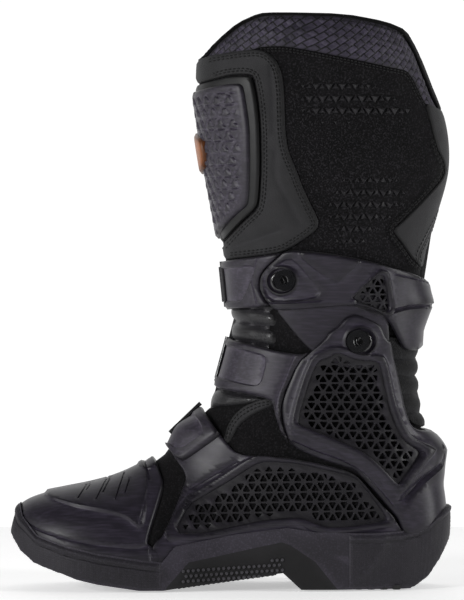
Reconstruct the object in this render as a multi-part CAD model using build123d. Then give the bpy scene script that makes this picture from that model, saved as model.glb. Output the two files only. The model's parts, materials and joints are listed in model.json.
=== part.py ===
"""Motocross riding boot (right foot), built as separate named pieces around one shared last.

Millimetres, +Z up, the toe points along -X and the inner (medial) side faces -Y.
"""
import math
import os

from build123d import *

os.makedirs("parts", exist_ok=True)

# ---------------------------------------------------------------- driving dimensions
MID_Y = -2.0            # Y of the boot's middle plane
TOP_CUT_Z = 426.0       # height of the flat top of the last, above the collar
WALL = 4.0              # soft upper and shaft thickness
LINER = 5.0             # inner liner thickness
PLATE_IN, PLATE_OUT = 3.0, 6.5      # outer hinge plates, distance out from the last
BLADE_IN, BLADE_OUT = 0.4, 2.1      # cuff blades, running under the ankle brace
FRAME_OUT = 6.3         # cuff frame, outside the blades
GUARD_OUT = 3.5         # the inner foot guard lies on the upper from 0 out to this
SLIM_OUT = 2.6          # the outer foot guard is thinner, because a strap crosses it
TOE_OUT = 3.0           # toe cap thickness
SOLE_OUT = 4.5          # how far the sole wall stands out from the last
PAD_OUT = 4.6           # shift pad, on top of the toe cap
LEATHER_OUT = 2.0       # leg leather panels
BELLOWS_OUT = 1.7       # rear bellows, under the foot of the cuff frame
CARRIER_OUT, SHIN_OUT, ACCENT_OUT = 2.2, 5.4, 9.6    # shin carrier, plate and badge
ARM_OUT = 6.5           # strap arms
STRAP_IN, STRAP_OUT = 3.0, 5.6      # ladder straps
GAP = 0.4               # clearance between pieces that move past each other
REACH = 160.0           # length of the side prisms, more than any half width

PIVOT = (90.0, 177.0)   # ankle hinge, X and Z
BOLT_R, BOLT_HEAD_R, BOLT_SEAT_R = 4.0, 8.0, 11.0
RUN_FIT = 0.05          # radial clearance of turning holes
PIN_R, KNUCKLE_R = 1.5, 2.6

# One row per section of the last, collar to toe: front X and Z, back X and Z, half width,
# front and back roundness power, sideways shift of the section centre.
SECTIONS = [
    (-16, 426, 118, 426, 54.0, 2.2, 2.3, 0),
    (-20, 395, 129, 395, 59.0, 2.2, 2.3, 0),
    (-23, 365, 141, 365, 62.0, 2.2, 2.3, 0),
    (-19, 332, 153, 332, 64.0, 2.2, 2.3, 0),
    (-14, 300, 155, 300, 63.0, 2.2, 2.3, 0),
    (-8, 268, 147, 268, 58.0, 2.2, 2.4, 0),
    (-3, 238, 138, 238, 53.0, 2.2, 2.5, 0),
    (0, 210, 135, 210, 49.0, 2.2, 2.5, 0),
    (2, 184, 133, 184, 46.5, 2.2, 2.5, 0),
    (-3, 160, 132, 158, 44.5, 2.2, 2.5, 0),
    (-10, 140, 134, 130, 43.5, 2.2, 2.5, 0),
    (-19, 124, 142, 98, 43.0, 2.2, 2.6, 0),
    (-36, 112, 147, 60, 42.5, 2.2, 2.8, 0),
    (-44, 98, 146, 10, 42.0, 2.2, 3.0, 0),
    (-54, 89.5, 112, -22, 42.0, 2.2, 3.0, 0),
    (-66, 82, 40, -24, 43.5, 2.2, 3.0, 0),
    (-82, 75, -22, -24, 48.0, 2.2, 3.0, -1),
    (-100, 70, -72, -22, 50.0, 2.3, 3.0, -2),
    (-118, 66.5, -105, -16, 46.0, 2.3, 3.0, -4),
    (-135, 63, -129, -6, 37.0, 2.3, 2.8, -6),
    (-147, 58, -145.5, 8, 25.0, 2.2, 2.4, -8),
    (-153, 51, -153, 24, 13.0, 2.0, 2.0, -9),
]

# ---------------------------------------------------------------- the last and its layers
def profile_normals(points, side):
    """Outward unit normals of a front (side -1) or back (side 1) profile in X and Z."""
    result = []
    for i in range(len(points)):
        a = points[max(0, i - 1)]
        b = points[min(len(points) - 1, i + 1)]
        dx, dz = b[0] - a[0], b[1] - a[1]
        size = math.hypot(dx, dz)
        result.append((-side * dz / size, side * dx / size))
    return result


FRONT_N = profile_normals([(s[0], s[1]) for s in SECTIONS], -1)
BACK_N = profile_normals([(s[2], s[3]) for s in SECTIONS], 1)


def ring(i, d, steps=3):
    """Closed section i of the last grown outward by d, as four smooth quarter curves."""
    xf, zf, xb, zb, w, power_f, power_b, shift = SECTIONS[i]
    xf, zf = xf + d * FRONT_N[i][0], zf + d * FRONT_N[i][1]
    xb, zb = xb + d * BACK_N[i][0], zb + d * BACK_N[i][1]
    if i == 0:
        zf = zb = TOP_CUT_Z
    w = w + d
    cx, cz, ux, uz = (xf + xb) / 2, (zf + zb) / 2, (xf - xb) / 2, (zf - zb) / 2

    def point(angle):
        c, s = math.cos(angle), math.sin(angle)
        power = 2 / (power_f if c > 1e-9 else power_b)
        a = math.copysign(abs(c) ** power, c) if abs(c) > 1e-9 else 0.0
        b = math.copysign(abs(s) ** power, s) if abs(s) > 1e-9 else 0.0
        return Vector(cx + ux * a, MID_Y + shift + w * b, cz + uz * a)

    tangents = [Vector(0, 1, 0), Vector(-ux, 0, -uz), Vector(0, -1, 0), Vector(ux, 0, uz)]
    edges = []
    for q in range(4):
        points = [point(math.pi / 2 * (q + k / steps)) for k in range(steps + 1)]
        edges.append(Edge.make_spline(points, tangents=[tangents[q], tangents[(q + 1) % 4]]))
    return Wire(edges)


LASTS = {}
SHELLS = {}


def last(d):
    """Solid last grown outward by d."""
    if d not in LASTS:
        LASTS[d] = Solid.make_loft([ring(i, d) for i in range(len(SECTIONS))])
    return LASTS[d]


def shell(d_in, d_out):
    """Layer between two grown lasts."""
    if (d_in, d_out) not in SHELLS:
        SHELLS[(d_in, d_out)] = last(d_out) - last(d_in)
    return SHELLS[(d_in, d_out)]


# ---------------------------------------------------------------- side-view outlines
MEDIAL, LATERAL, BOTH = "medial", "lateral", "both"


def outline(points, radius=3.0):
    """Closed side-view face with rounded corners, points given as X and Z."""
    corners = []
    n = len(points)
    for i in range(n):
        p = Vector(*points[i])
        u = Vector(*points[i - 1]) - p
        v = Vector(*points[(i + 1) % n]) - p
        half = math.radians(u.get_angle(v)) / 2
        reach = min(radius / math.tan(half), 0.42 * min(u.length, v.length))
        r = reach * math.tan(half)
        u, v = u.normalized(), v.normalized()
        if half > math.radians(88) or radius == 0:
            corners.append((p, None, p))
        else:
            mid = p + (u + v).normalized() * (r / math.sin(half) - r)
            corners.append((p + u * reach, mid, p + v * reach))
    edges = []
    for i in range(n):
        start, mid, end = corners[i]
        if mid is not None:
            edges.append(ThreePointArc(start, mid, end))
        edges.append(Line(end, corners[(i + 1) % n][0]))
    return make_face(edges)


def prism(face, side, split=0.0):
    """Side-view face drawn out to one side or both, starting split past the middle plane."""
    if side == BOTH:
        placed = Plane((0, MID_Y, 0), x_dir=(1, 0, 0), z_dir=(0, -1, 0)) * face
        return extrude(placed, amount=REACH, both=True)
    sign = -1 if side == MEDIAL else 1
    placed = Plane((0, MID_Y + sign * split, 0), x_dir=(1, 0, 0), z_dir=(0, -1, 0)) * face
    return extrude(placed, amount=REACH, dir=(0, sign, 0))


def plate(d_in, d_out, face, side=BOTH, split=0.0):
    """Piece of a layer inside a side-view outline."""
    return shell(d_in, d_out) & prism(face, side, split)


def keep(shape, smallest=60.0):
    """Drop crumbs, keep every real solid."""
    solids = [s for s in shape.solids() if s.volume > smallest]
    return solids[0] if len(solids) == 1 else Compound(children=solids)


SAVED = {}


def save(name, shape, smallest=60.0):
    shape = keep(shape, smallest)
    SAVED[name] = shape
    export_step(shape, f"parts/{name}.step")
    print(f"{name:24s} solids {len(shape.solids())} volume {shape.volume:9.0f} ok {shape.is_valid}")


def shifted(points, dx, dz):
    return [(x + dx, z + dz) for x, z in points]


# ---------------------------------------------------------------- shared side-view lines
WELT = [    # upper edge of the sole wall, toe to heel
    (-175, 66), (-152, 62), (-149, 52), (-138, 39), (-118, 32), (-94, 26.5), (-65, 22), (-49, 20),
    (-40, 31), (0, 39), (40, 44), (60, 41), (100, 40), (122, 41.5), (132, 44), (140, 48),
    (147, 55), (154, 61.5), (180, 66),
]
FLOOR = [   # top of the sole inside the boot
    (-180, 34), (-150, 30), (-130, 18), (-100, 11), (-60, 9), (-30, 13), (0, 19), (40, 25),
    (90, 27), (190, 27),
]
GROUND = [  # underside, heel to toe
    (157, 53), (155, 40), (148, 21), (140, 9), (128, 0), (50, 0), (37, 12), (0, 7), (-35, 2),
    (-48, 0), (-65, 0), (-95, 4.5), (-110, 8), (-125, 14), (-140, 20), (-150, 28.5), (-157, 40),
]
TOP_EDGE = [    # collar rim, front to back
    (-60, 360), (-22, 378), (-9, 391), (5, 403), (20, 409), (32, 410), (80, 409), (110, 404),
    (124, 399), (132, 386), (140, 368), (146, 352), (152, 342), (190, 334),
]
RIM_EDGE = [    # lower side of the rim binding
    (-60, 354), (-21, 372), (-8, 386), (6, 398), (21, 404.5), (32, 405.5), (79, 404.5), (108, 400),
    (120, 395.5), (128, 384), (135.5, 366.5), (141.5, 350), (148, 337.5), (190, 329),
]
COLLAR_EDGE = [  # where the collar meets the shaft, front to back
    (-60, 338), (-24, 361), (-8, 373), (8, 381), (22, 384), (52, 381), (85, 375), (115, 369),
    (127, 364), (134, 354), (140, 343), (150, 334), (190, 327),
]
CUFF_SOFT_EDGE = [  # lower end of the shaft
    (-60, 206), (30, 206), (75, 194), (90, 190), (120, 184), (170, 172),
]
FOOT_SOFT_EDGE = [  # upper end of the foot upper
    (-80, 112), (-10, 128), (30, 140), (75, 159), (90, 160), (105, 155), (122, 120), (170, 108),
]


def above(line, top=460):
    return outline(line + [(line[-1][0], top), (line[0][0], top)], 0)


def below(line, bottom=-60):
    return outline(line + [(line[-1][0], bottom), (line[0][0], bottom)], 0)


def between(low, high):
    return outline(low + high[::-1], 0)


ABOVE_WELT = prism(above(WELT), BOTH)

# ---------------------------------------------------------------- sole unit
INSERT = [(-48, -5), (-46, 2), (-30, 20), (-10, 24), (36, 34), (42, 32), (60, 20), (80, -5)]
SHANK_SIZE = (84, 22, 1.6)

sole_block = last(SOLE_OUT) & prism(between(GROUND[::-1], WELT[1:-1]), BOTH)
foot_space = last(0.0) & prism(above(FLOOR), BOTH)
sole_block = sole_block - foot_space
insert_prism = prism(outline(INSERT, 2), BOTH)
shank = Pos(18, MID_Y, 19.2) * Rot(0, -8.2, 0) * Box(*SHANK_SIZE)
outsole = sole_block - insert_prism
waist_insert = (sole_block & insert_prism) - shank
save("outsole", outsole)
save("waist_insert", waist_insert)
save("shank", shank & insert_prism)

BOARD, SOCK, BED = 3.0, 2.0, 6.0
board_top = shifted(FLOOR, 0, BOARD)
sock_top = shifted(FLOOR, 0, BOARD + SOCK)
bed_top = shifted(FLOOR, 0, BOARD + SOCK + BED)
save("insole_board", last(0.0) & prism(between(FLOOR, board_top), BOTH))
save("footbed", last(-WALL - LINER) & prism(between(sock_top, bed_top), BOTH))

# ---------------------------------------------------------------- soft upper and liner
foot_zone = prism(between(board_top, [(-200, 140)] + FOOT_SOFT_EDGE + [(190, 104)]), BOTH)
cuff_zone = prism(between(CUFF_SOFT_EDGE, COLLAR_EDGE), BOTH)
sock_floor = last(-WALL) & prism(between(board_top, sock_top), BOTH)
save("foot_upper", shell(-WALL, 0.0) & foot_zone)
save("liner_foot", (shell(-WALL - LINER, -WALL) & foot_zone) + sock_floor)
save("shaft", shell(-WALL, 0.0) & cuff_zone)
save("collar", plate(-WALL, 0.0, between(COLLAR_EDGE, RIM_EDGE)))
save("liner_cuff", shell(-WALL - LINER, -WALL) & prism(between(CUFF_SOFT_EDGE, RIM_EDGE), BOTH))
save("collar_binding", plate(-WALL - LINER, 0.0, between(RIM_EDGE, TOP_EDGE)))

wedge = between(shifted(FOOT_SOFT_EDGE, 0, GAP), shifted(CUFF_SOFT_EDGE, 0, -GAP))
wedge_prism = prism(wedge, BOTH)
FRONT_ZONE = [(-90, 100), (30, 100), (28, 150), (34, 190), (36, 215), (-90, 215)]
REAR_ZONE = [(108, 100), (190, 100), (190, 200), (114, 200)]
front_zone = prism(outline(FRONT_ZONE, 0), BOTH)
rear_zone = prism(outline(REAR_ZONE, 0), BOTH)
soft_band = shell(-WALL, 0.0) & wedge_prism
save("front_bellows", soft_band & front_zone)
save("ankle_gusset", soft_band - front_zone - rear_zone)
save("rear_bellows", plate(-WALL, BELLOWS_OUT, wedge) & rear_zone)
save("liner_ankle", shell(-WALL - LINER, -WALL) & wedge_prism)

# ---------------------------------------------------------------- toe
TOE_CAP = [
    (-175, 90), (-75, 92), (-55, 90.5), (-53, 88), (-47, 73), (-52, 56), (-60, 34), (-49, 12),
    (-175, 12),
]
SHIFT_PAD = [(-133, 66), (-110, 57), (-80, 52), (-65, 44), (-61, 48), (-59, 60), (-63, 82), (-98, 72)]
save("toe_cap", plate(0.0, TOE_OUT, outline(TOE_CAP)) & ABOVE_WELT)
save("shift_pad", plate(TOE_OUT, PAD_OUT, outline(SHIFT_PAD, 2), MEDIAL, 20))

# ---------------------------------------------------------------- foot guards
GUARD = [
    (-50, 112), (-22, 134), (-10, 113), (-2, 103), (5, 96), (25, 93.5), (60, 89), (80, 84),
    (95, 72), (111.5, 53), (117, 45.5), (120.5, 36), (40, 36), (-52, 20), (-48, 38), (-33, 72),
    (-31, 79), (-38, 90),
]
GUARD_LATERAL = [
    (-40, 98), (-28, 104), (-2, 103), (5, 96), (25, 93.5), (60, 89), (80, 84), (95, 72),
    (111.5, 53), (117, 45.5), (120.5, 36), (40, 36), (-52, 20), (-48, 38), (-33, 72), (-31, 79),
]
GUARD_WINDOW = [
    (-40, 40), (-29, 59), (0, 76), (18, 88), (25, 90), (45, 89), (60, 86), (85, 80), (92, 75),
    (109, 51), (104, 48), (72, 44), (50, 50), (20, 48),
]
guard_window = outline(GUARD_WINDOW)
# side, outline, thickness, lattice thickness, distance of the upper edge from the middle plane
GUARDS = ((MEDIAL, GUARD, GUARD_OUT, 2.4, 8), (LATERAL, GUARD_LATERAL, SLIM_OUT, SLIM_OUT, 2))
for side, points, d, mesh_d, start in GUARDS:
    guard = plate(0.0, d, outline(points), side, start) & ABOVE_WELT
    save(f"{side}_foot_guard", guard - prism(guard_window, side, 2))
    save(f"{side}_guard_mesh", plate(0.0, mesh_d, guard_window, side, 2) & ABOVE_WELT)

# ---------------------------------------------------------------- ankle brace and heel
BRACE = [
    (57, 169), (66, 178), (70, 185), (80, 193), (89, 196), (100, 191), (106, 185), (111, 177),
    (113, 163), (118, 140), (123, 120), (130, 112), (142, 108), (165, 104), (165, 50), (147, 45),
    (122, 36), (117, 50), (110, 58), (100, 70), (88, 83), (75, 88), (60, 93), (45, 100), (41, 106),
    (37.5, 117), (37, 128), (39, 137), (48, 160),
]
UNDERCUT = [    # the brace stands off the upper here; behind and below it lies on it
    (20, 84), (70, 84), (110, 90), (118, 106), (121, 113), (131, 124), (131, 215), (20, 215),
]
BRACE_WINDOW = [
    (73, 167), (63, 162), (57, 150), (51, 132), (47.5, 116), (60, 110), (75, 104), (98, 91),
    (114, 74), (131, 95), (119, 105), (113, 116), (108, 136), (103, 160), (88, 162), (80, 165),
]
brace_window = outline(BRACE_WINDOW)
brace = plate(0.0, PLATE_OUT, outline(BRACE)) - (prism(outline(UNDERCUT, 2), BOTH) & last(PLATE_IN))
brace = (brace & ABOVE_WELT) - prism(brace_window, BOTH)

# ---------------------------------------------------------------- cuff frame and blades
CUFF_FRAME = [
    (39, 241), (60, 241), (75, 239), (100, 233.5), (125, 226), (141, 217), (165, 210), (165, 185),
    (143, 184), (131, 170), (122, 170), (116, 182), (110, 193), (94, 202), (70, 202), (34, 199),
    (26, 208), (23, 216), (25, 226),
]
LATERAL_FRONT = [   # the frame ends behind this on the outer side, where the strap passes
    (0, 260), (50, 260), (44, 232), (42, 218), (44, 208), (52, 190), (0, 190),
]
CUFF_WINDOW = [(86, 207), (103, 225), (107, 224), (110, 202), (107, 198)]
BLADE = [
    (36, 200), (42, 192), (49, 183), (60, 173), (74, 166), (90, 163.5), (100, 165.5), (103, 173),
    (104, 192), (105, 212), (60, 222), (38, 214),
]
cuff_window = outline(CUFF_WINDOW, 2)
cuff_frame = plate(BLADE_OUT, FRAME_OUT, outline(CUFF_FRAME))
cuff_frame = cuff_frame - prism(outline(LATERAL_FRONT), LATERAL)
cuff_frame = cuff_frame - prism(cuff_window, BOTH)
mesh_parts = [plate(BLADE_OUT, 4.8, cuff_window, side) for side in (MEDIAL, LATERAL)]
save("cuff_frame_mesh", mesh_parts[0] + mesh_parts[1])


def side_hit(x, z, d, side):
    """Point and normal of the grown last's surface straight out to one side."""
    sign = -1 if side == MEDIAL else 1
    hits = last(d).find_intersection_points(Axis((x, MID_Y, z), (0, sign, 0)))
    return max(hits, key=lambda hit: sign * hit[0].Y)


def across(x, z, y_from, y_to, radius):
    """Cylinder along Y between two Y values."""
    return Pos(x, (y_from + y_to) / 2, z) * Rot(90, 0, 0) * Cylinder(radius, abs(y_to - y_from))


def hex_socket(x, y, z, radius, depth):
    """Six-sided prism along Y, centred on the face that it cuts into."""
    return Pos(x, y, z) * Rot(90, 0, 0) * extrude(RegularPolygon(radius, 6), depth, both=True)


for side in (MEDIAL, LATERAL):
    sign = -1 if side == MEDIAL else 1
    px, pz = PIVOT
    y_plate = side_hit(px, pz, PLATE_OUT, side)[0].Y
    y_seat = y_plate - sign * 1.6
    y_in = side_hit(px - BOLT_R, pz + BOLT_R, BLADE_IN, side)[0].Y
    bolt = across(px, pz, y_in, y_seat, BOLT_R)
    bolt = bolt + across(px, pz, y_seat, y_seat + sign * 3.4, BOLT_HEAD_R)
    bolt = bolt - hex_socket(px, y_seat + sign * 3.4, pz, 3.6, 1.8)
    brace = brace - across(px, pz, y_seat, y_seat + sign * 12, BOLT_SEAT_R)
    brace = brace - across(px, pz, y_in - sign * 9, y_seat + sign * 3, BOLT_R)
    blade = plate(BLADE_IN, BLADE_OUT, outline(BLADE), side)
    blade = blade - across(px, pz, y_in - sign * 9, y_seat + sign * 3, BOLT_R + RUN_FIT)
    save(f"{side}_ankle_bolt", bolt)
    save(f"{side}_cuff_blade", blade)
    save(f"{side}_brace_mesh", plate(PLATE_IN + GAP, 5.2, brace_window, side))
    print("pivot", side, round(y_in, 2), round(y_plate, 2))
save("ankle_brace", brace)

# ---------------------------------------------------------------- cuff bolts
FRAME_BOLT = (38.0, 220.5)
bolt_y = side_hit(FRAME_BOLT[0], FRAME_BOLT[1], FRAME_OUT, MEDIAL)[0].Y
cuff_frame = cuff_frame - across(*FRAME_BOLT, bolt_y + 1.2, bolt_y - 12, 9.5)
frame_bolt = across(*FRAME_BOLT, bolt_y + 1.2, bolt_y - 2.2, 7.5)
frame_bolt = frame_bolt + across(*FRAME_BOLT, bolt_y + 5.2, bolt_y, 3)
frame_bolt = frame_bolt - hex_socket(FRAME_BOLT[0], bolt_y - 2.2, FRAME_BOLT[1], 3.2, 1.6)
frame_shank = across(*FRAME_BOLT, bolt_y + 9, bolt_y, 3)
cuff_frame = cuff_frame - frame_shank
save("cuff_frame", cuff_frame)
save("top_strap_bolt", frame_bolt)

# ---------------------------------------------------------------- leg leather panels
CALF = [
    (138, 346), (151, 341), (170, 336), (170, 284), (148, 270), (142, 245), (139, 231), (129, 236),
    (115, 256), (130, 271), (150, 292), (153, 299), (147, 312), (142, 330),
]
FLAP = [
    (-45, 236), (0, 236.5), (30, 239), (45, 245), (55, 252), (62, 260), (55, 277), (46, 299),
    (40, 315), (38, 340), (36, 366), (28, 380), (15, 383), (-15, 379), (-60, 368),
]
SHIN_OPEN = [
    (-60, 358), (-10, 363.5), (13, 366), (17, 364), (21, 345), (22.5, 300), (21.5, 280), (10, 262),
    (-2, 249), (-8, 243), (-60, 240),
]
save("calf_panel", plate(0.0, LEATHER_OUT, outline(CALF)))
save("shin_flap", plate(0.0, LEATHER_OUT, outline(FLAP, 2) - outline(SHIN_OPEN, 2)))

# ---------------------------------------------------------------- shin closure
SHIN_PLATE = [
    (-60, 352), (0, 359.5), (9, 359), (12, 350), (15, 330), (15.5, 305), (15, 283), (8, 269),
    (0, 261), (-8, 248), (-60, 244),
]
SHIN_ACCENT = [(-60, 327), (-18, 325), (-13, 318), (-12, 304), (-13, 297), (-18, 293), (-60, 292)]
CARRIER = [
    (-60, 357), (-10, 362.6), (12.6, 365), (16.2, 363.6), (20.2, 345), (21.7, 300), (20.7, 280.4),
    (9.4, 262.8), (-2.6, 249.8), (-8.4, 243.8), (-60, 241),
]
save("shin_carrier", plate(GAP, CARRIER_OUT, outline(CARRIER, 2)))
accent_prism = prism(outline(SHIN_ACCENT, 2), BOTH)
shin_plate = plate(CARRIER_OUT, SHIN_OUT, outline(SHIN_PLATE, 2))
save("shin_plate", shin_plate - accent_prism)
save("shin_accent", shell(CARRIER_OUT, ACCENT_OUT) & accent_prism)
TAB_OUT = 3.8
TAB = [(16.2, 295), (46, 292), (49, 300), (47, 322), (40, 326), (16.2, 323)]
save("closure_tab", plate(CARRIER_OUT, TAB_OUT, outline(TAB), LATERAL, 2))

# ---------------------------------------------------------------- straps, arms and buckles
TOP_ARM = [
    (-40, 234), (0, 235), (30, 239), (38, 240.5), (24.6, 226), (22.6, 216), (25.6, 208), (31, 202),
    (5, 200), (-40, 199),
]
TOP_TAB = [(8, 208), (50, 208), (50, 232), (8, 232)]
ANKLE_ARM = [
    (-40, 182), (0, 177), (20, 173), (35, 169), (50, 167), (56.4, 168.6), (47.4, 160.4),
    (38.4, 137.2), (36.4, 128), (36.9, 117), (40.4, 105.8), (36, 110), (33, 120), (30, 133),
    (15, 138), (0, 140), (-40, 150),
]
INSTEP_ARM = [
    (-60, 104), (-26, 140), (-9, 113.5), (-17, 106), (-22, 102), (-30, 96.5), (-36, 95.5), (-42, 101),
]
TOP_BAND = [(-40, 203), (40, 206), (40, 230), (-40, 232)]
ANKLE_BAND = [(-40, 147), (40, 146), (44, 168), (-40, 178)]
INSTEP_BAND = [(-41.6, 112.3), (-15.3, 72.4), (3.5, 87.2), (-24.4, 129), (-34, 143), (-56, 126)]

# name: strap band, root point (X, Z), root axis direction (X, Z), half length of the root,
# buckle point (X, Z), strap direction there (X, Z), arm outline
STRAPS = {
    "top": (TOP_BAND, (-5.2, 217.0), (-0.10, 0.995), 13.0, (27.0, 218.0), (1.0, 0.0)),
    "ankle": (ANKLE_BAND, (-6.6, 164.2), (0.26, 0.966), 12.0, (30.0, 157.0), (1.0, 0.0)),
    "instep": (INSTEP_BAND, (-33.0, 120.6), (0.72, 0.694), 12.0, (-14.0, 90.0), (0.62, -0.785)),
}
ROOT_SPLIT = -4.0       # the strap roots sit this far to the inner side of the middle plane


def along(origin, direction, start, end, radius):
    """Cylinder from start to end along an axis."""
    frame = Plane(origin, z_dir=direction)
    return frame * Pos(0, 0, (start + end) / 2) * Cylinder(radius, end - start)


def strap_root(name):
    (x, z), (dx, dz), half = STRAPS[name][1:4]
    return Vector(x, MID_Y + ROOT_SPLIT, z), Vector(dx, 0, dz).normalized(), half


def buckle_frame(name):
    """Plane on the outer side: local x runs along the strap to the rear, local z points out.

    It is parallel to the surface under the middle of the lever, so the lever lies flat.
    """
    at, run = STRAPS[name][4:6]
    touch, normal = side_hit(at[0] + 24 * run[0], at[1] + 24 * run[1], PLATE_OUT, LATERAL)
    normal = normal if normal.Y > 0 else -normal
    direction = Vector(run[0], 0, run[1])
    direction = (direction - normal * direction.dot(normal)).normalized()
    return Plane(touch - direction * 24, x_dir=direction, z_dir=normal)


def make_arm(name, body):
    """Cut the arm back from the root knuckle and give it two ears and the pin hole."""
    origin, axis, half = strap_root(name)
    body = body - along(origin, axis, -half, half, KNUCKLE_R + GAP)
    for start in (-half - 3.4, half + GAP):
        body = body + along(origin, axis, start, start + 3.0, KNUCKLE_R)
    return body - along(origin, axis, -half - 4, half + 4, PIN_R)


def make_strap(name):
    band = STRAPS[name][0]
    origin, axis, half = strap_root(name)
    body = plate(STRAP_IN, STRAP_OUT, outline(band, 3), LATERAL, ROOT_SPLIT)
    side_limit = Plane(origin, x_dir=(0, 1, 0), z_dir=axis)
    body = body & (side_limit * Pos(60, 0, 0) * Box(122, 200, 2 * half))
    wide = side_limit * Pos(65 + KNUCKLE_R, 0, 0) * Box(130, 200, 2 * half + 2)
    body = (body & wide) + along(origin, axis, -half + GAP, half - GAP, KNUCKLE_R)
    bridge = side_limit * Pos(2.6, 0, 0) * Box(4.4, 2.2, 2 * half - 1.2)
    return keep(body + bridge - along(origin, axis, -half - 4, half + 4, PIN_R + RUN_FIT))


def make_buckle(name, seat):
    """Buckle base, lever, lever pin and the fixed catch, trimmed to the surfaces below."""
    frame = buckle_frame(name)
    base = Pos(-2, 0, -5) * Box(26, 22, 14)
    base = base - Pos(-2, 0, 3.5) * Box(40, 15.6, 4.0)
    base = base + Pos(6, 9.6, 4.5) * Box(9, 3.0, 9) + Pos(6, -9.6, 4.5) * Box(9, 3.0, 9)
    base = base - Pos(6, 0, 6) * Rot(90, 0, 0) * Cylinder(PIN_R, 40)
    lever = Pos(6, 0, 6) * Rot(90, 0, 0) * Cylinder(3.2, 15.2)
    lever = lever + Pos(25, 0, 6.6) * Box(38, 15.2, 3.0)
    lever = lever + Pos(44, 0, 7.3) * Rot(0, -12, 0) * Box(9, 15.2, 2.6)
    lever = lever + Pos(21, 0, 4.2) * Box(2.4, 12, 4.0)
    lever = lever - Pos(31, 0, 7.4) * Box(14, 8, 3.0)
    lever = lever - Pos(6, 0, 6) * Rot(90, 0, 0) * Cylinder(PIN_R + RUN_FIT, 40)
    pin = Pos(6, 0, 6) * Rot(90, 0, 0) * Cylinder(PIN_R, 22.2)
    catch = Pos(27, 0, -7.6) * Box(24, 14, 18)
    catch = catch + Pos(16.6, 0, 0.4) * Box(2.4, 14, 5.6)
    catch = frame * catch - last(seat)
    base = frame * base - last(STRAP_OUT)
    return frame, base, frame * lever, frame * pin, catch


SEATS = {"top": FRAME_OUT, "ankle": PLATE_OUT, "instep": SLIM_OUT}
top_arm = plate(BLADE_OUT, ARM_OUT, outline(TOP_ARM), MEDIAL, -ROOT_SPLIT + GAP)
top_arm = top_arm + plate(BLADE_IN, BLADE_OUT, outline(TOP_TAB), MEDIAL) - frame_shank
blade_room = prism(outline(BLADE), MEDIAL)
arms = {
    "top": top_arm - (shell(BLADE_IN, BLADE_OUT) & blade_room),
    "ankle": plate(PLATE_IN, ARM_OUT, outline(ANKLE_ARM), MEDIAL, -ROOT_SPLIT + GAP),
    "instep": plate(GUARD_OUT, ARM_OUT + 1, outline(INSTEP_ARM), MEDIAL, -ROOT_SPLIT + GAP),
}
for name in STRAPS:
    save(f"{name}_strap_arm", make_arm(name, arms[name]))
    origin, axis, half = strap_root(name)
    save(f"{name}_strap_pin", along(origin, axis, -half - 3.4, half + 3.4, PIN_R))
    strap = make_strap(name)
    frame, base, lever, pin, catch = make_buckle(name, SEATS[name])
    save(f"{name}_strap", strap)
    save(f"{name}_buckle_base", base)
    save(f"{name}_lever", lever)
    save(f"{name}_lever_pin", pin)
    save(f"{name}_catch", catch)
    hinge = frame.from_local_coords(Vector(6, 0, 6))
    print(name, "root", origin, "axis", axis, "lever at", hinge, "lever axis", frame.y_dir)

box = Compound(children=list(SAVED.values())).bounding_box()
print("box", box.min, box.max, "middle", box.center(), "nodes", len(SAVED))
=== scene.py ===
import json
import math

import bpy
import numpy as np
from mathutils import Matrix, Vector, kdtree
from mathutils.bvhtree import BVHTree
from mathutils.geometry import delaunay_2d_cdt


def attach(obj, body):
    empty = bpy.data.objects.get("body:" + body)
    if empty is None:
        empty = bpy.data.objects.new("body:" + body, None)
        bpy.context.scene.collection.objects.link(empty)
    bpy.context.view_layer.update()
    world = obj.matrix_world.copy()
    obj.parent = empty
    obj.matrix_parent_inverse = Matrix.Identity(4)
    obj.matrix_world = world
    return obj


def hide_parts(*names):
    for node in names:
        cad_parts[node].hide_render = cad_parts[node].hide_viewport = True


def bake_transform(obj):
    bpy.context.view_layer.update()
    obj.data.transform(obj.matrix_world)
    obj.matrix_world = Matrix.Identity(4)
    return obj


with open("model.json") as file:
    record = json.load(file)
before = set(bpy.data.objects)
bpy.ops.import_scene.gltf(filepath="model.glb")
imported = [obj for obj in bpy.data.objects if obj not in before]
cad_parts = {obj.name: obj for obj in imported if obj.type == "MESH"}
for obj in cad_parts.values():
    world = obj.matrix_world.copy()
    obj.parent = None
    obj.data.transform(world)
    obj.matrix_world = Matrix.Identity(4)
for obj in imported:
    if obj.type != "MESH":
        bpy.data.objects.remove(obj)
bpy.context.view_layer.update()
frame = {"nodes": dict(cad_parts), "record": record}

MM = 0.001

# ------------------------------------------------------------------ the boot's shared surface
MID_Y = -2.0
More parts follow.
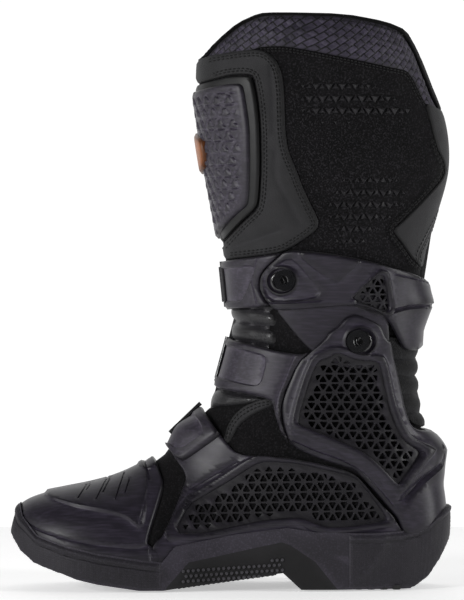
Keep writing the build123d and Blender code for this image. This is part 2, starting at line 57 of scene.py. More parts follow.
# front X and Z, back X and Z, half width, front and back roundness, sideways shift (mm)
SECTIONS = [
    (-16, 426, 118, 426, 54.0, 2.2, 2.3, 0),
    (-20, 395, 129, 395, 59.0, 2.2, 2.3, 0),
    (-23, 365, 141, 365, 62.0, 2.2, 2.3, 0),
    (-19, 332, 153, 332, 64.0, 2.2, 2.3, 0),
    (-14, 300, 155, 300, 63.0, 2.2, 2.3, 0),
    (-8, 268, 147, 268, 58.0, 2.2, 2.4, 0),
    (-3, 238, 138, 238, 53.0, 2.2, 2.5, 0),
    (0, 210, 135, 210, 49.0, 2.2, 2.5, 0),
    (2, 184, 133, 184, 46.5, 2.2, 2.5, 0),
    (-3, 160, 132, 158, 44.5, 2.2, 2.5, 0),
    (-10, 140, 134, 130, 43.5, 2.2, 2.5, 0),
    (-19, 124, 142, 98, 43.0, 2.2, 2.6, 0),
    (-36, 112, 147, 60, 42.5, 2.2, 2.8, 0),
    (-44, 98, 146, 10, 42.0, 2.2, 3.0, 0),
    (-54, 89.5, 112, -22, 42.0, 2.2, 3.0, 0),
    (-66, 82, 40, -24, 43.5, 2.2, 3.0, 0),
    (-82, 75, -22, -24, 48.0, 2.2, 3.0, -1),
    (-100, 70, -72, -22, 50.0, 2.3, 3.0, -2),
    (-118, 66.5, -105, -16, 46.0, 2.3, 3.0, -4),
    (-135, 63, -129, -6, 37.0, 2.3, 2.8, -6),
    (-147, 58, -145.5, 8, 25.0, 2.2, 2.4, -8),
    (-153, 51, -153, 24, 13.0, 2.0, 2.0, -9),
    (-154.5, 44, -154.5, 31, 6.0, 2.0, 2.0, -9),
    (-154.8, 38.5, -154.8, 37.5, 0.5, 2.0, 2.0, -9),
]
ROWS = np.array(SECTIONS, float)
N_ROWS = len(SECTIONS)


def edge_normals(a, side):
    ahead = np.vstack([a[1:], a[-1:]])
    behind = np.vstack([a[:1], a[:-1]])
    d = ahead - behind
    d /= np.linalg.norm(d, axis=1, keepdims=True)
    return np.stack([-side * d[:, 1], side * d[:, 0]], 1)


NORMAL_F = edge_normals(ROWS[:, 0:2], -1)
NORMAL_B = edge_normals(ROWS[:, 2:4], 1)
NORMAL_F[-2:] = NORMAL_B[-2:] = (-1.0, 0.0)
TABLE = np.hstack([ROWS, NORMAL_F, NORMAL_B])


def row_at(t):
    """Section values at fractional row t, by Catmull-Rom."""
    t = np.clip(t, 0, N_ROWS - 1)
    i = np.minimum(t.astype(int), N_ROWS - 2)
    f = (t - i)[:, None]
    p = [TABLE[np.clip(i + k, 0, N_ROWS - 1)] for k in (-1, 0, 1, 2)]
    m1, m2 = (p[2] - p[0]) / 2, (p[3] - p[1]) / 2
    f2, f3 = f * f, f * f * f
    value = (2 * f3 - 3 * f2 + 1) * p[1] + (f3 - 2 * f2 + f) * m1
    return value + (-2 * f3 + 3 * f2) * p[2] + (f3 - f2) * m2


def surface(t, a, d=0.0):
    """Points (mm) at row t and angle a: 0 front, pi back, positive on the inner side; d outward."""
    t, a = np.asarray(t, float), np.asarray(a, float)
    r = row_at(t)
    d = np.broadcast_to(np.asarray(d, float), t.shape)
    xf, zf = r[:, 0] + d * r[:, 8], r[:, 1] + d * r[:, 9]
    xb, zb = r[:, 2] + d * r[:, 10], r[:, 3] + d * r[:, 11]
    w = r[:, 4] + d
    c, s = np.cos(a), np.sin(a)
    power = np.where(c > 0, 2 / r[:, 5], 2 / r[:, 6])
    u = np.sign(c) * np.abs(c) ** power
    v = np.sign(s) * np.abs(s) ** power
    x = (xf + xb) / 2 + (xf - xb) / 2 * u
    z = (zf + zb) / 2 + (zf - zb) / 2 * u
    y = MID_Y + r[:, 7] - w * v
    return np.stack([x, y, z], 1)


GRID_T = np.linspace(0, N_ROWS - 1, (N_ROWS - 1) * 12 + 1)
GRID_A = np.linspace(0, math.pi, 141)
_t, _a = (g.ravel() for g in np.meshgrid(GRID_T, GRID_A, indexing="ij"))
_p = surface(_t, _a)
TREE = kdtree.KDTree(len(_t))
for _i in range(len(_t)):
    TREE.insert((_p[_i, 0], _p[_i, 2], 0.0), _i)
TREE.balance()


def locate(xz):
    """Row and angle (inner side) of side-view points; points off the boot go to its outline."""
    xz = np.asarray(xz, float).reshape(-1, 2)
    near = [TREE.find((x, z, 0.0))[1] for x, z in xz]
    t, a = _t[near].copy(), _a[near].copy()
    h = 1e-4
    for _ in range(4):
        p = surface(t, a)[:, [0, 2]]
        jt = (surface(t + h, a)[:, [0, 2]] - surface(t - h, a)[:, [0, 2]]) / (2 * h)
        ja = (surface(t, a + h)[:, [0, 2]] - surface(t, a - h)[:, [0, 2]]) / (2 * h)
        e = xz - p
        det = jt[:, 0] * ja[:, 1] - jt[:, 1] * ja[:, 0]
        ok = np.abs(det) > 3.0
        det = np.where(ok, det, 1.0)
        dt = (e[:, 0] * ja[:, 1] - e[:, 1] * ja[:, 0]) / det
        da = (jt[:, 0] * e[:, 1] - jt[:, 1] * e[:, 0]) / det
        t = np.clip(t + np.where(ok, np.clip(dt, -0.08, 0.08), 0), 0, N_ROWS - 1)
        a = np.clip(a + np.where(ok, np.clip(da, -0.03, 0.03), 0), 0, math.pi)
    return t, a


# flat chart of the surface: U follows the angle, V the rows, both roughly in mm
ROW_STEP = np.zeros(N_ROWS)
_mid = (ROWS[:, 0:2] + ROWS[:, 2:4]) / 2
ROW_STEP[1:] = np.cumsum(np.maximum(np.linalg.norm(np.diff(_mid, axis=0), axis=1), 6.0))
CHART_U = 47.0


def chart(t, a):
    return np.stack([a * CHART_U, np.interp(t, np.arange(N_ROWS), ROW_STEP)], 1)


def unchart(uv):
    return np.interp(uv[:, 1], ROW_STEP, np.arange(N_ROWS)), uv[:, 0] / CHART_U


def resample(points, step, closed=True):
    """Points every step along a line."""
    p = np.asarray(points, float)
    if closed:
        p = np.vstack([p, p[:1]])
    out = []
    for a, b in zip(p[:-1], p[1:]):
        n = max(1, int(round(np.linalg.norm(b - a) / step)))
        out.extend(a + (b - a) * k / n for k in range(n))
    if not closed:
        out.append(p[-1])
    return np.array(out)


def rounded(points, times=2, closed=True):
    """Corner cutting, to turn traced corners into soft ones."""
    p = np.asarray(points, float)
    for _ in range(times):
        q = np.roll(p, -1, 0) if closed else p[1:]
        b = p if closed else p[:-1]
        cut = np.stack([b * 0.8 + q * 0.2, b * 0.2 + q * 0.8], 1).reshape(-1, 2)
        p = cut if closed else np.vstack([p[:1], cut[1:-1], p[-1:]])
    return p


def inside(points, polygon):
    """True for each point inside a closed polygon."""
    x, y = points[:, 0], points[:, 1]
    result = np.zeros(len(points), bool)
    q = np.roll(polygon, -1, 0)
    for (ax, ay), (bx, by) in zip(polygon, q):
        if ay == by:
            continue
        crosses = ((ay > y) != (by > y)) & (x < (bx - ax) * (y - ay) / (by - ay) + ax)
        result ^= crosses
    return result


def distance(points, line, closed=True):
    """Distance from each point to a line."""
    a = line if closed else line[:-1]
    b = np.roll(line, -1, 0) if closed else line[1:]
    best = np.full(len(points), 1e9)
    for p, q in zip(a, b):
        v = q - p
        k = np.clip(((points - p) @ v) / max(v @ v, 1e-12), 0, 1)
        best = np.minimum(best, np.linalg.norm(points - p - k[:, None] * v, axis=1))
    return best


def smooth(x):
    x = np.clip(x, 0, 1)
    return x * x * (3 - 2 * x)


# ------------------------------------------------------------------ mesh helpers
def put(name, verts, faces, material, body, nodes=(), uv=None, sharp=38, blend=None):
    """A finished mesh piece: points in mm, material, body it rides on, CAD nodes it stands for."""
    mesh = bpy.data.meshes.new(name)
    mesh.from_pydata((np.asarray(verts) * MM).tolist(), [], faces)
    if uv is not None:
        layer = mesh.uv_layers.new(name="chart")
        index = np.zeros(len(mesh.loops), int)
        mesh.loops.foreach_get("vertex_index", index)
        layer.data.foreach_set("uv", (uv[index] * 0.01).ravel())
    mesh.validate()
    mesh.shade_smooth()
    mesh.set_sharp_from_angle(angle=math.radians(sharp))
    mesh.materials.append(material)
    obj = bpy.data.objects.new(name, mesh)
    bpy.context.scene.collection.objects.link(obj)
    if blend:
        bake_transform(obj)
    else:
        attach(obj, body)
    if nodes:
        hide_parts(*nodes)
    return obj


class Build:
    """Collects several closed parts into one mesh."""

    def __init__(self):
        self.verts, self.faces, self.uvs, self.count = [], [], [], 0

    def add(self, verts, faces, uv=None):
        verts = np.asarray(verts, float)
        self.verts.append(verts)
        self.uvs.append(np.zeros((len(verts), 2)) if uv is None else uv)
        self.faces.extend(tuple(i + self.count for i in f) for f in faces)
        self.count += len(verts)

    def put(self, name, material, body, slot, nodes=(), sharp=38, blend=None):
        v, uv = np.vstack(self.verts), np.vstack(self.uvs)
        return put(name, v, self.faces, material, body, nodes, uv, sharp, blend)


def inset_points(loop, amount):
    """Points moved inward from a closed loop by amount."""
    ahead, behind = np.roll(loop, -1, 0), np.roll(loop, 1, 0)
    d = ahead - behind
    d /= np.maximum(np.linalg.norm(d, axis=1, keepdims=True), 1e-9)
    area = np.sum(loop[:, 0] * ahead[:, 1] - ahead[:, 0] * loop[:, 1])
    n = np.stack([-d[:, 1], d[:, 0]], 1) * (1 if area > 0 else -1)
    return loop + n * amount


def chart_mesh(outer, holes=(), grid=3.0, rings=(0.5, 1.2, 2.4), extra=None, calm=()):
    """Triangles inside an outline on the chart, with rings of points along its edges.

    extra holds more points; calm entries (line, closed, gap) keep the grid off a moulded line.
    """
    loops = [np.asarray(outer)] + [np.asarray(h) for h in holes]
    points, edges = [], []
    count = 0
    for loop in loops:
        n = len(loop)
        points.append(loop)
        edges += [(count + i, count + (i + 1) % n) for i in range(n)]
        count += n
    free = []
    for k, loop in enumerate(loops):
        for amount in rings:
            q = inset_points(loop, amount if k == 0 else -amount)
            free.append((q, amount * 0.86))
    low, high = loops[0].min(0), loops[0].max(0)
    gx = np.arange(low[0], high[0], grid)
    gy = np.arange(low[1], high[1], grid * 0.866)
    g = np.array([(x + (grid / 2 if j % 2 else 0), y) for j, y in enumerate(gy) for x in gx])
    for line, closed, gap in calm:
        if len(g):
            g = g[distance(g, line, closed) > gap]
    if len(g):
        free.append((g, max(rings, default=0.0) + grid * 0.45))
    if extra is not None and len(extra):
        free.append((np.asarray(extra), 0.3))
    for q, gap in free:
        ok = inside(q, loops[0])
        for h in loops[1:]:
            ok &= ~inside(q, h)
        q = q[ok]
        if len(q) == 0:
            continue
        far = np.full(len(q), 1e9)
        for loop in loops:
            far = np.minimum(far, distance(q, loop))
        points.append(q[far >= gap])
    co = np.vstack(points)
    v, _, f, *_ = delaunay_2d_cdt([Vector(p) for p in co], edges, [], 0, 1e-4)
    v = np.array([tuple(p) for p in v])
    tri = np.array([tuple(t) for t in f if len(t) == 3])
    mid = v[tri].mean(1)
    ok = inside(mid, loops[0])
    for h in loops[1:]:
        ok &= ~inside(mid, h)
    tri = tri[ok]
    used = np.unique(tri)
    back = np.full(len(v), -1)
    back[used] = np.arange(len(used))
    v, tri = v[used], back[tri]
    p, q, r = v[tri[:, 0]], v[tri[:, 1]], v[tri[:, 2]]
    area = (q[:, 0] - p[:, 0]) * (r[:, 1] - p[:, 1]) - (q[:, 1] - p[:, 1]) * (r[:, 0] - p[:, 0])
    tri[area < 0] = tri[area < 0][:, ::-1]
    tri = tri[np.abs(area) > 1e-7]
    return v, tri


def boundary(tri):
    """Directed edges used by one triangle only."""
    seen = {}
    for a, b, c in tri:
        for e in ((a, b), (b, c), (c, a)):
            seen[e] = True
    return [e for e in seen if (e[1], e[0]) not in seen]


def mirror_chart(v, tri, seam):
    """Adds the outer side's mirror half; seam is 'front', 'back' or 'both' where they join."""
    n = len(v)
    on = np.zeros(n, bool)
    if seam in ("front", "both"):
        on |= np.abs(v[:, 0]) < 0.02
    if seam in ("back", "both"):
        on |= np.abs(v[:, 0] - math.pi * CHART_U) < 0.02
    index = np.where(on, np.arange(n), 0)
    fresh = np.flatnonzero(~on)
    index[fresh] = n + np.arange(len(fresh))
    w = v[fresh].copy()
    w[:, 0] *= -1
    return np.vstack([v, w]), np.vstack([tri, index[tri][:, ::-1]])


def shape(loops, features, v):
    """Height pattern from features, in mm.

    ('edge', width, drop), ('step', line, height, width), ('groove', line, half width, depth)
    """
    h = np.zeros(len(v))
    for f in features:
        if f[0] == "edge":
            far = np.full(len(v), 1e9)
            for loop in loops:
                far = np.minimum(far, distance(v, loop))
            k = np.clip(1 - far / f[1], 0, 1)
            h -= f[2] * (1 - np.sqrt(np.clip(1 - k * k, 0, 1)))
        elif f[0] == "step":
            far = distance(v, f[1])
            far = np.where(inside(v, f[1]), far, -far)
            h += f[2] * smooth((far + f[3] / 2) / f[3])
        elif f[0] == "groove":
            far = distance(v, f[1], False)
            h -= f[3] * smooth(1 - far / f[2])
    return h


def to_chart(points, step=2.4, soft=1, closed=True):
    """Side-view line in mm to a chart line, resampled."""
    p = np.asarray(points, float)
    if soft:
        p = rounded(p, soft, closed)
    p = resample(p, step, closed)
    t, a = locate(p)
    q = chart(t, a)
    keep = np.r_[True, np.linalg.norm(np.diff(q, axis=0), axis=1) > 0.15]
    return q[keep]


def offset(line, amount, closed):
    """A chart line moved sideways by amount."""
    if closed:
        return inset_points(line, amount)
    d = np.gradient(line, axis=0)
    d /= np.maximum(np.linalg.norm(d, axis=1, keepdims=True), 1e-9)
    return line + np.stack([-d[:, 1], d[:, 0]], 1) * amount


FINE = 1.3      # mm between mesh points along moulded steps and grooves


def panel(name, points, d0, d1, material, body, slot, nodes=(), holes=(), features=(), side="m",
          grid=3.0, rings=(0.5, 1.2, 2.4), soft=1, step=2.4, lift=None, sharp=38, blend=None,
          charted=False, build=None):
    """A closed shell piece on the boot, from its side-view outline.

    side is m inner, l outer, b both apart, f/k/a both joined at the front, back or all round.
    """
    outer = np.asarray(points) if charted else to_chart(points, step, soft)
    inner = [np.asarray(h) if charted else to_chart(h, step, soft) for h in holes]
    marks, near, calm = [], [], []
    for f in features:
        if f[0] in ("step", "groove"):
            closed = f[0] == "step"
            line = to_chart(f[1], FINE, soft, closed)
            marks.append((f[0], line) + tuple(f[2:]))
            half = f[3] / 2 if closed else f[2]
            for k in (-1, -0.4, 0.4, 1) if closed else (-1, -0.5, 0, 0.5, 1):
                near.append(offset(line, half * k, closed))
            calm.append((line, closed, half + 0.8))
        else:
            marks.append(f)
    near = np.vstack(near) if near else None
    v, tri = chart_mesh(outer, inner, grid, rings, near, calm)
    h = shape([outer] + inner, marks, v)
    if lift is not None:
        h = h + lift(v)
    out = build or Build()
    seam = {"f": "front", "k": "back", "a": "both"}.get(side)
    halves = [(v, tri, h)]
    if seam:
        before = len(v)
        v2, tri2 = mirror_chart(v, tri, seam)
        fresh = len(v2) - before
        on = np.zeros(before, bool)
        if seam in ("front", "both"):
            on |= np.abs(v[:, 0]) < 0.02
        if seam in ("back", "both"):
            on |= np.abs(v[:, 0] - math.pi * CHART_U) < 0.02
        halves = [(v2, tri2, np.r_[h, h[~on]])]
        assert fresh == (~on).sum()
    elif side == "l":
        halves = [(v * (-1, 1), tri[:, ::-1], h)]
    elif side == "b":
        halves.append((v * (-1, 1), tri[:, ::-1], h))
    for v, tri, h in halves:
        t, a = unchart(v)
        top = surface(t, a, d1 + h)
        low = surface(t, a, np.minimum(d0, d1 + h - 0.3))
        n = len(v)
        faces = [tuple(f) for f in tri] + [tuple(n + i for i in f[::-1]) for f in tri]
        faces += [(b, c, c + n, b + n)[::-1] for b, c in boundary(tri)]
        out.add(np.vstack([top, low]), faces, np.vstack([v, v]))
    if build is not None:
        return None
    return out.put(name, material, body, slot, nodes, sharp, blend)


# ------------------------------------------------------------------ materials
def nodes_of(name):
    mat = bpy.data.materials.new(name)
    mat.use_nodes = True
    tree = mat.node_tree
    return mat, tree, tree.nodes["Principled BSDF"]


def make(name, color, dark, rough=(0.45, 0.6), grain=(), sheen=0.03, coat=0.0, metal=0.0,
         mottle=35.0, spec=0.28, streak=0.0, fleck=0.0, edge=1.7):
    """Surface with two mixed tones, varied roughness and stacked bumps.

    grain entries: (kind, scale, depth in mm, coordinates) with kind noise, cells, weave,
    dots, blocks or brushed and coordinates Object or UV.
    """
    mat, tree, shader = nodes_of(name)
    new, link = tree.nodes.new, tree.links.new
    coords = new("ShaderNodeTexCoord")

    def noise(scale, detail, coordinates="Object"):
        n = new("ShaderNodeTexNoise")
        n.inputs["Scale"].default_value = scale
        n.inputs["Detail"].default_value = detail
        link(coords.outputs[coordinates], n.inputs["Vector"])
        return n.outputs["Fac"]

    def math_node(kind, a, b=None, c=None):
        n = new("ShaderNodeMath")
        n.operation = kind
        for i, value in enumerate((a, b, c)):
            if value is None:
                continue
            if isinstance(value, (int, float)):
                n.inputs[i].default_value = value
            else:
                link(value, n.inputs[i])
        return n.outputs[0]

    tone = new("ShaderNodeMapRange")
    tone.inputs["From Min"].default_value = 0.32
    tone.inputs["From Max"].default_value = 0.68
    link(noise(mottle, 5.0), tone.inputs["Value"])
    mix = new("ShaderNodeMix")
    mix.data_type = "RGBA"
    mix.inputs["A"].default_value = (*dark, 1)
    mix.inputs["B"].default_value = (*color, 1)
    link(tone.outputs[0], mix.inputs["Factor"])
    tint = mix.outputs["Result"]
    level = new("ShaderNodeMapRange")
    level.inputs["To Min"].default_value = rough[0]
    level.inputs["To Max"].default_value = rough[1]
    wear = noise(mottle * 2.7, 6.0)
    if streak:
        scrape = new("ShaderNodeMapping")
        scrape.inputs["Scale"].default_value = (0.16, 1.0, 1.6)
        link(coords.outputs["Object"], scrape.inputs["Vector"])
        scratches = new("ShaderNodeTexNoise")
        scratches.inputs["Scale"].default_value = 420
        scratches.inputs["Detail"].default_value = 6.0
        link(scrape.outputs[0], scratches.inputs["Vector"])
        wear = math_node("MULTIPLY_ADD", math_node("SUBTRACT", scratches.outputs["Fac"], 0.5),
                         streak, wear)
        worn = new("ShaderNodeMapRange")
        worn.inputs["From Min"].default_value = 0.44
        worn.inputs["From Max"].default_value = 0.66
        worn.inputs["To Max"].default_value = 0.62
        link(scratches.outputs["Fac"], worn.inputs["Value"])
        pale = new("ShaderNodeMix")
        pale.data_type = "RGBA"
        pale.inputs["B"].default_value = (*(min(1.0, c * 2.1) for c in color), 1)
        link(tint, pale.inputs["A"])
        link(worn.outputs[0], pale.inputs["Factor"])
        tint = pale.outputs["Result"]
    if fleck:
        sparkle = new("ShaderNodeMapRange")
        sparkle.inputs["From Min"].default_value = 0.5
        sparkle.inputs["From Max"].default_value = 0.72
        sparkle.inputs["To Max"].default_value = 1.0
        link(noise(850, 2.0), sparkle.inputs["Value"])
        pale = new("ShaderNodeMix")
        pale.data_type = "RGBA"
        pale.inputs["B"].default_value = (*(c * fleck for c in color), 1)
        link(tint, pale.inputs["A"])
        link(sparkle.outputs[0], pale.inputs["Factor"])
        tint = pale.outputs["Result"]
    link(wear, level.inputs["Value"])
    link(level.outputs[0], shader.inputs["Roughness"])
    normal = None
    for kind, scale, depth, coordinates in grain:
        if kind == "noise":
            height = noise(scale, 4.0, coordinates)
        elif kind in ("cells", "dots"):
            n = new("ShaderNodeTexVoronoi")
            n.feature = "DISTANCE_TO_EDGE" if kind == "cells" else "F1"
            n.inputs["Scale"].default_value = scale
            if kind == "dots":
                n.inputs["Randomness"].default_value = 0.0
            link(coords.outputs[coordinates], n.inputs["Vector"])
            limit = new("ShaderNodeMapRange")
            limit.interpolation_type = "SMOOTHSTEP"
            limit.inputs["From Min"].default_value = 0.0 if kind == "cells" else 0.13
            limit.inputs["From Max"].default_value = 0.12 if kind == "cells" else 0.21
            link(n.outputs["Distance"], limit.inputs["Value"])
            height = limit.outputs[0]
            if kind == "dots":
                # dot centres painted near-black: painted shade standing in for the depth of the dents and
                # perforation holes
                holes = new("ShaderNodeMix")
                holes.data_type = "RGBA"
                holes.inputs["A"].default_value = (0.004, 0.004, 0.004, 1)
                link(tint, holes.inputs["B"])
                link(height, holes.inputs["Factor"])
                tint = holes.outputs["Result"]
        elif kind == "blocks":
            turn = new("ShaderNodeMapping")
            turn.inputs["Scale"].default_value = (130.0, 100.0, 1.0)
            turn.inputs["Rotation"].default_value = (0, 0, math.atan2(0.6, 0.8))
            link(coords.outputs[coordinates], turn.inputs["Vector"])
            bricks = new("ShaderNodeTexBrick")
            bricks.inputs["Scale"].default_value = 1.0
            bricks.inputs["Brick Width"].default_value = scale
            bricks.inputs["Row Height"].default_value = scale * 0.64
            bricks.inputs["Mortar Size"].default_value = 0.5
            bricks.inputs["Mortar Smooth"].default_value = 0.4
            link(turn.outputs[0], bricks.inputs["Vector"])
            link(tint, bricks.inputs["Color1"])
            bricks.inputs["Color2"].default_value = (*(c * 1.5 for c in color), 1)
            bricks.inputs["Mortar"].default_value = (*(c * 0.12 for c in color), 1)
            tint = bricks.outputs["Color"]
            height = math_node("SUBTRACT", 1.0, bricks.outputs["Fac"])
        elif kind in ("weave", "brushed"):
            split = new("ShaderNodeSeparateXYZ")
            link(coords.outputs[coordinates], split.inputs[0])
            x, y = split.outputs[0], split.outputs[1]
            if kind == "brushed":
                n = new("ShaderNodeTexNoise")
                stretch = new("ShaderNodeMapping")
                stretch.inputs["Scale"].default_value = (0.04, 1.0, 1.0)
                link(coords.outputs[coordinates], stretch.inputs["Vector"])
                link(stretch.outputs[0], n.inputs["Vector"])
                n.inputs["Scale"].default_value = scale
                height = n.outputs["Fac"]
            else:
                sx = math_node("SINE", math_node("MULTIPLY", x, scale))
                sy = math_node("SINE", math_node("MULTIPLY", y, scale))
                height = math_node("MULTIPLY_ADD", math_node("MULTIPLY", sx, sy), 0.5, 0.5)
        bump = new("ShaderNodeBump")
        bump.inputs["Strength"].default_value = 1.0
        bump.inputs["Distance"].default_value = depth * MM
        link(height, bump.inputs["Height"])
        if normal is not None:
            link(normal, bump.inputs["Normal"])
        normal = bump.outputs[0]
    # painted shade and highlight: creases painted darker and outer edges paler from the mesh's pointiness,
    # edge setting how strong
    bend = new("ShaderNodeNewGeometry")
    painted_crease_shade_and_edge_highlight = new("ShaderNodeMapRange")
    painted_crease_shade_and_edge_highlight.inputs["From Min"].default_value = 0.44
    painted_crease_shade_and_edge_highlight.inputs["From Max"].default_value = 0.56
    painted_crease_shade_and_edge_highlight.inputs["To Min"].default_value = 2.0 - edge
    painted_crease_shade_and_edge_highlight.inputs["To Max"].default_value = edge
    link(bend.outputs["Pointiness"], painted_crease_shade_and_edge_highlight.inputs["Value"])
    shaded = new("ShaderNodeVectorMath")
    shaded.operation = "SCALE"
    link(tint, shaded.inputs[0])
    link(painted_crease_shade_and_edge_highlight.outputs[0], shaded.inputs["Scale"])
    link(shaded.outputs[0], shader.inputs["Base Color"])
    if normal is not None:
        link(normal, shader.inputs["Normal"])
    shader.inputs["Metallic"].default_value = metal
    shader.inputs["Specular IOR Level"].default_value = spec
    if sheen:
        shader.inputs["Sheen Weight"].default_value = sheen
        shader.inputs["Sheen Roughness"].default_value = 0.45
    if coat:
        shader.inputs["Coat Weight"].default_value = coat
        shader.inputs["Coat Roughness"].default_value = 0.12
    return mat


MATS = {
    "sole_rubber": make("sole_rubber", (0.0135, 0.0118, 0.0165), (0.0085, 0.0074, 0.0105), (0.5, 0.68),
                        [("dots", 58, 0.3, "UV"), ("noise", 900, 0.05, "Object")], fleck=1.6),
    "sole_plain": make("sole_plain", (0.0150, 0.0131, 0.0183), (0.0095, 0.0082, 0.0117), (0.5, 0.68),
                       [("noise", 900, 0.05, "Object")], fleck=1.6),
    # a paler copy of the insert rubber for its studs: painted highlight, so the studs read as bright dots
    "stud_rubber_painted_highlight": make("stud_rubber_painted_highlight", (0.03, 0.029, 0.033), (0.02, 0.019, 0.022), (0.4, 0.55),
                        [("noise", 900, 0.05, "Object")]),
    "insert_rubber": make("insert_rubber", (0.005, 0.0047, 0.0055), (0.0033, 0.0031, 0.0036),
                          (0.55, 0.75), [("noise", 700, 0.08, "Object")]),
    "spring_steel": make("spring_steel", (0.5500, 0.5500, 0.5600), (0.4500, 0.4500, 0.4600), (0.25, 0.4),
                         [("brushed", 400, 0.02, "Object")], metal=1.0),
    "board_fibre": make("board_fibre", (0.2000, 0.1700, 0.1300), (0.1400, 0.1200, 0.0900), (0.8, 0.95),
                        [("noise", 600, 0.15, "Object")]),
    "footbed_foam": make("footbed_foam", (0.0126, 0.0126, 0.0137), (0.0072, 0.0072, 0.0079), (0.8, 0.95),
                         [("weave", 1900, 0.12, "Object")], sheen=0.03),
    "liner_fabric": make("liner_fabric", (0.0108, 0.0104, 0.0122), (0.0065, 0.0061, 0.0072), (0.8, 0.95),
                         [("dots", 26, 0.35, "UV"), ("noise", 800, 0.05, "Object")], sheen=0.03),
    "textile_black": make("textile_black", (0.0045, 0.0042, 0.0047), (0.0024, 0.0023, 0.0026),
                          (0.85, 0.98), [("noise", 1500, 0.12, "Object"),
                                         ("noise", 300, 0.12, "Object")], spec=0.12, fleck=3.5),
    "ribbed_black": make("ribbed_black", (0.0072, 0.0072, 0.0078), (0.0042, 0.0042, 0.0048), (0.6, 0.8),
                         [("weave", 320, 0.2, "UV")], spec=0.15, fleck=3.0),
    "collar_weave": make("collar_weave", (0.028, 0.0235, 0.038), (0.015, 0.0125, 0.022), (0.5, 0.7),
                         [("blocks", 6.4, 0.5, "UV"), ("weave", 2600, 0.05, "Object")]),
    "suede_black": make("suede_black", (0.0045, 0.0042, 0.0048), (0.0024, 0.0023, 0.0026),
                        (0.88, 0.98), [("noise", 1300, 0.14, "Object"),
                                       ("noise", 260, 0.14, "Object")], spec=0.12, fleck=5.0),
    "stud_black": make("stud_black", (0.0085, 0.008, 0.0092), (0.005, 0.0047, 0.0055), (0.45, 0.6),
                       [("noise", 900, 0.05, "Object")], sheen=0.03),
    "leather_grey": make("leather_grey", (0.014, 0.0135, 0.0155), (0.0088, 0.0086, 0.0098), (0.55, 0.75),
                         [("cells", 700, 0.06, "Object"), ("noise", 150, 0.12, "Object")], sheen=0.03),
    "leather_perforated": make("leather_perforated", (0.0165, 0.0155, 0.0185), (0.01, 0.0095, 0.0112),
                               (0.35, 0.5), [("dots", 42, 0.4, "UV"),
                                             ("cells", 800, 0.05, "Object")], coat=0.1),
    "polymer_dark": make("polymer_dark", (0.015, 0.0125, 0.0195), (0.0115, 0.0098, 0.015), (0.34, 0.46),
                         [("noise", 1400, 0.012, "Object"), ("noise", 60, 0.12, "Object")], streak=0.8),
    "polymer_grey": make("polymer_grey", (0.026, 0.0222, 0.032), (0.019, 0.0162, 0.0236), (0.36, 0.48),
                         [("noise", 1400, 0.012, "Object"), ("noise", 60, 0.12, "Object")], streak=0.8),
    "polymer_mesh": make("polymer_mesh", (0.024, 0.0205, 0.029), (0.018, 0.0155, 0.022), (0.4, 0.52),
                         [("noise", 1200, 0.012, "Object")]),
    "surround_black": make("surround_black", (0.0054, 0.0054, 0.0059), (0.0036, 0.0036, 0.0040),
                           (0.4, 0.55), [("noise", 900, 0.03, "Object")]),
    "accent_orange": make("accent_orange", (0.3100, 0.0992, 0.0217), (0.2604, 0.0806, 0.0186), (0.35, 0.45),
                          [("noise", 900, 0.015, "Object")]),
    "strap_polymer": make("strap_polymer", (0.0086, 0.0083, 0.0094), (0.0061, 0.0058, 0.0068), (0.4, 0.52),
                          [("noise", 1200, 0.015, "Object")]),
    "buckle_metal": make("buckle_metal", (0.0500, 0.0500, 0.0550), (0.0375, 0.0375, 0.0410), (0.3, 0.42),
                         [("brushed", 500, 0.02, "Object")], metal=0.85),
    "bolt_black": make("bolt_black", (0.0050, 0.0050, 0.0055), (0.0035, 0.0035, 0.0040), (0.14, 0.24),
                       [("noise", 500, 0.01, "Object")], coat=0.5),
    "thread": make("thread", (0.0060, 0.0060, 0.0065), (0.0035, 0.0035, 0.0040), (0.7, 0.85),
                   [("noise", 2500, 0.04, "Object")]),
    "thread_grey": make("thread_grey", (0.0180, 0.0180, 0.0198), (0.0126, 0.0126, 0.0144), (0.6, 0.8),
                        [("noise", 2500, 0.04, "Object")]),
}
SLOT_OF = {s["node"]: s["material_slot"] for s in frame["record"]["subparts"]}
LOOK = dict(SLOT_OF, outsole="sole_plain")      # its moulded dots are on the skins, which have UVs
for node, obj in frame["nodes"].items():
    obj.data.materials.clear()
    obj.data.materials.append(MATS[LOOK[node]])

# ------------------------------------------------------------------ side-view lines, mm
TRIANGLE = 8.0          # side of the lattice triangles
ROW = 7.0               # height of the lattice rows
ANKLE = ("foot", "cuff", (0.0, 0.0, 0.135), (0.0, 0.0, 0.203))


def clean(line, seams=()):
    """Snap chart points near the front or back line onto it."""
    line = np.array(line)
    if "front" in seams:
        line[line[:, 0] < 2.2, 0] = 0.0
    if "back" in seams:
        line[line[:, 0] > math.pi * CHART_U - 2.2, 0] = math.pi * CHART_U
    keep = np.r_[True, np.linalg.norm(np.diff(line, axis=0), axis=1) > 0.12]
    return line[keep]


def seamed(points, seams, step=2.6, soft=1):
    return clean(to_chart(points, step, soft), seams)


def kept_off(points, low_u, step=2.4, soft=1):
    """Chart outline whose front end stops at low_u from the front line."""
    line = to_chart(points, step, soft)
    line[:, 0] = np.maximum(line[:, 0], low_u)
    keep = np.r_[True, np.linalg.norm(np.diff(line, axis=0), axis=1) > 0.12]
    return line[keep]


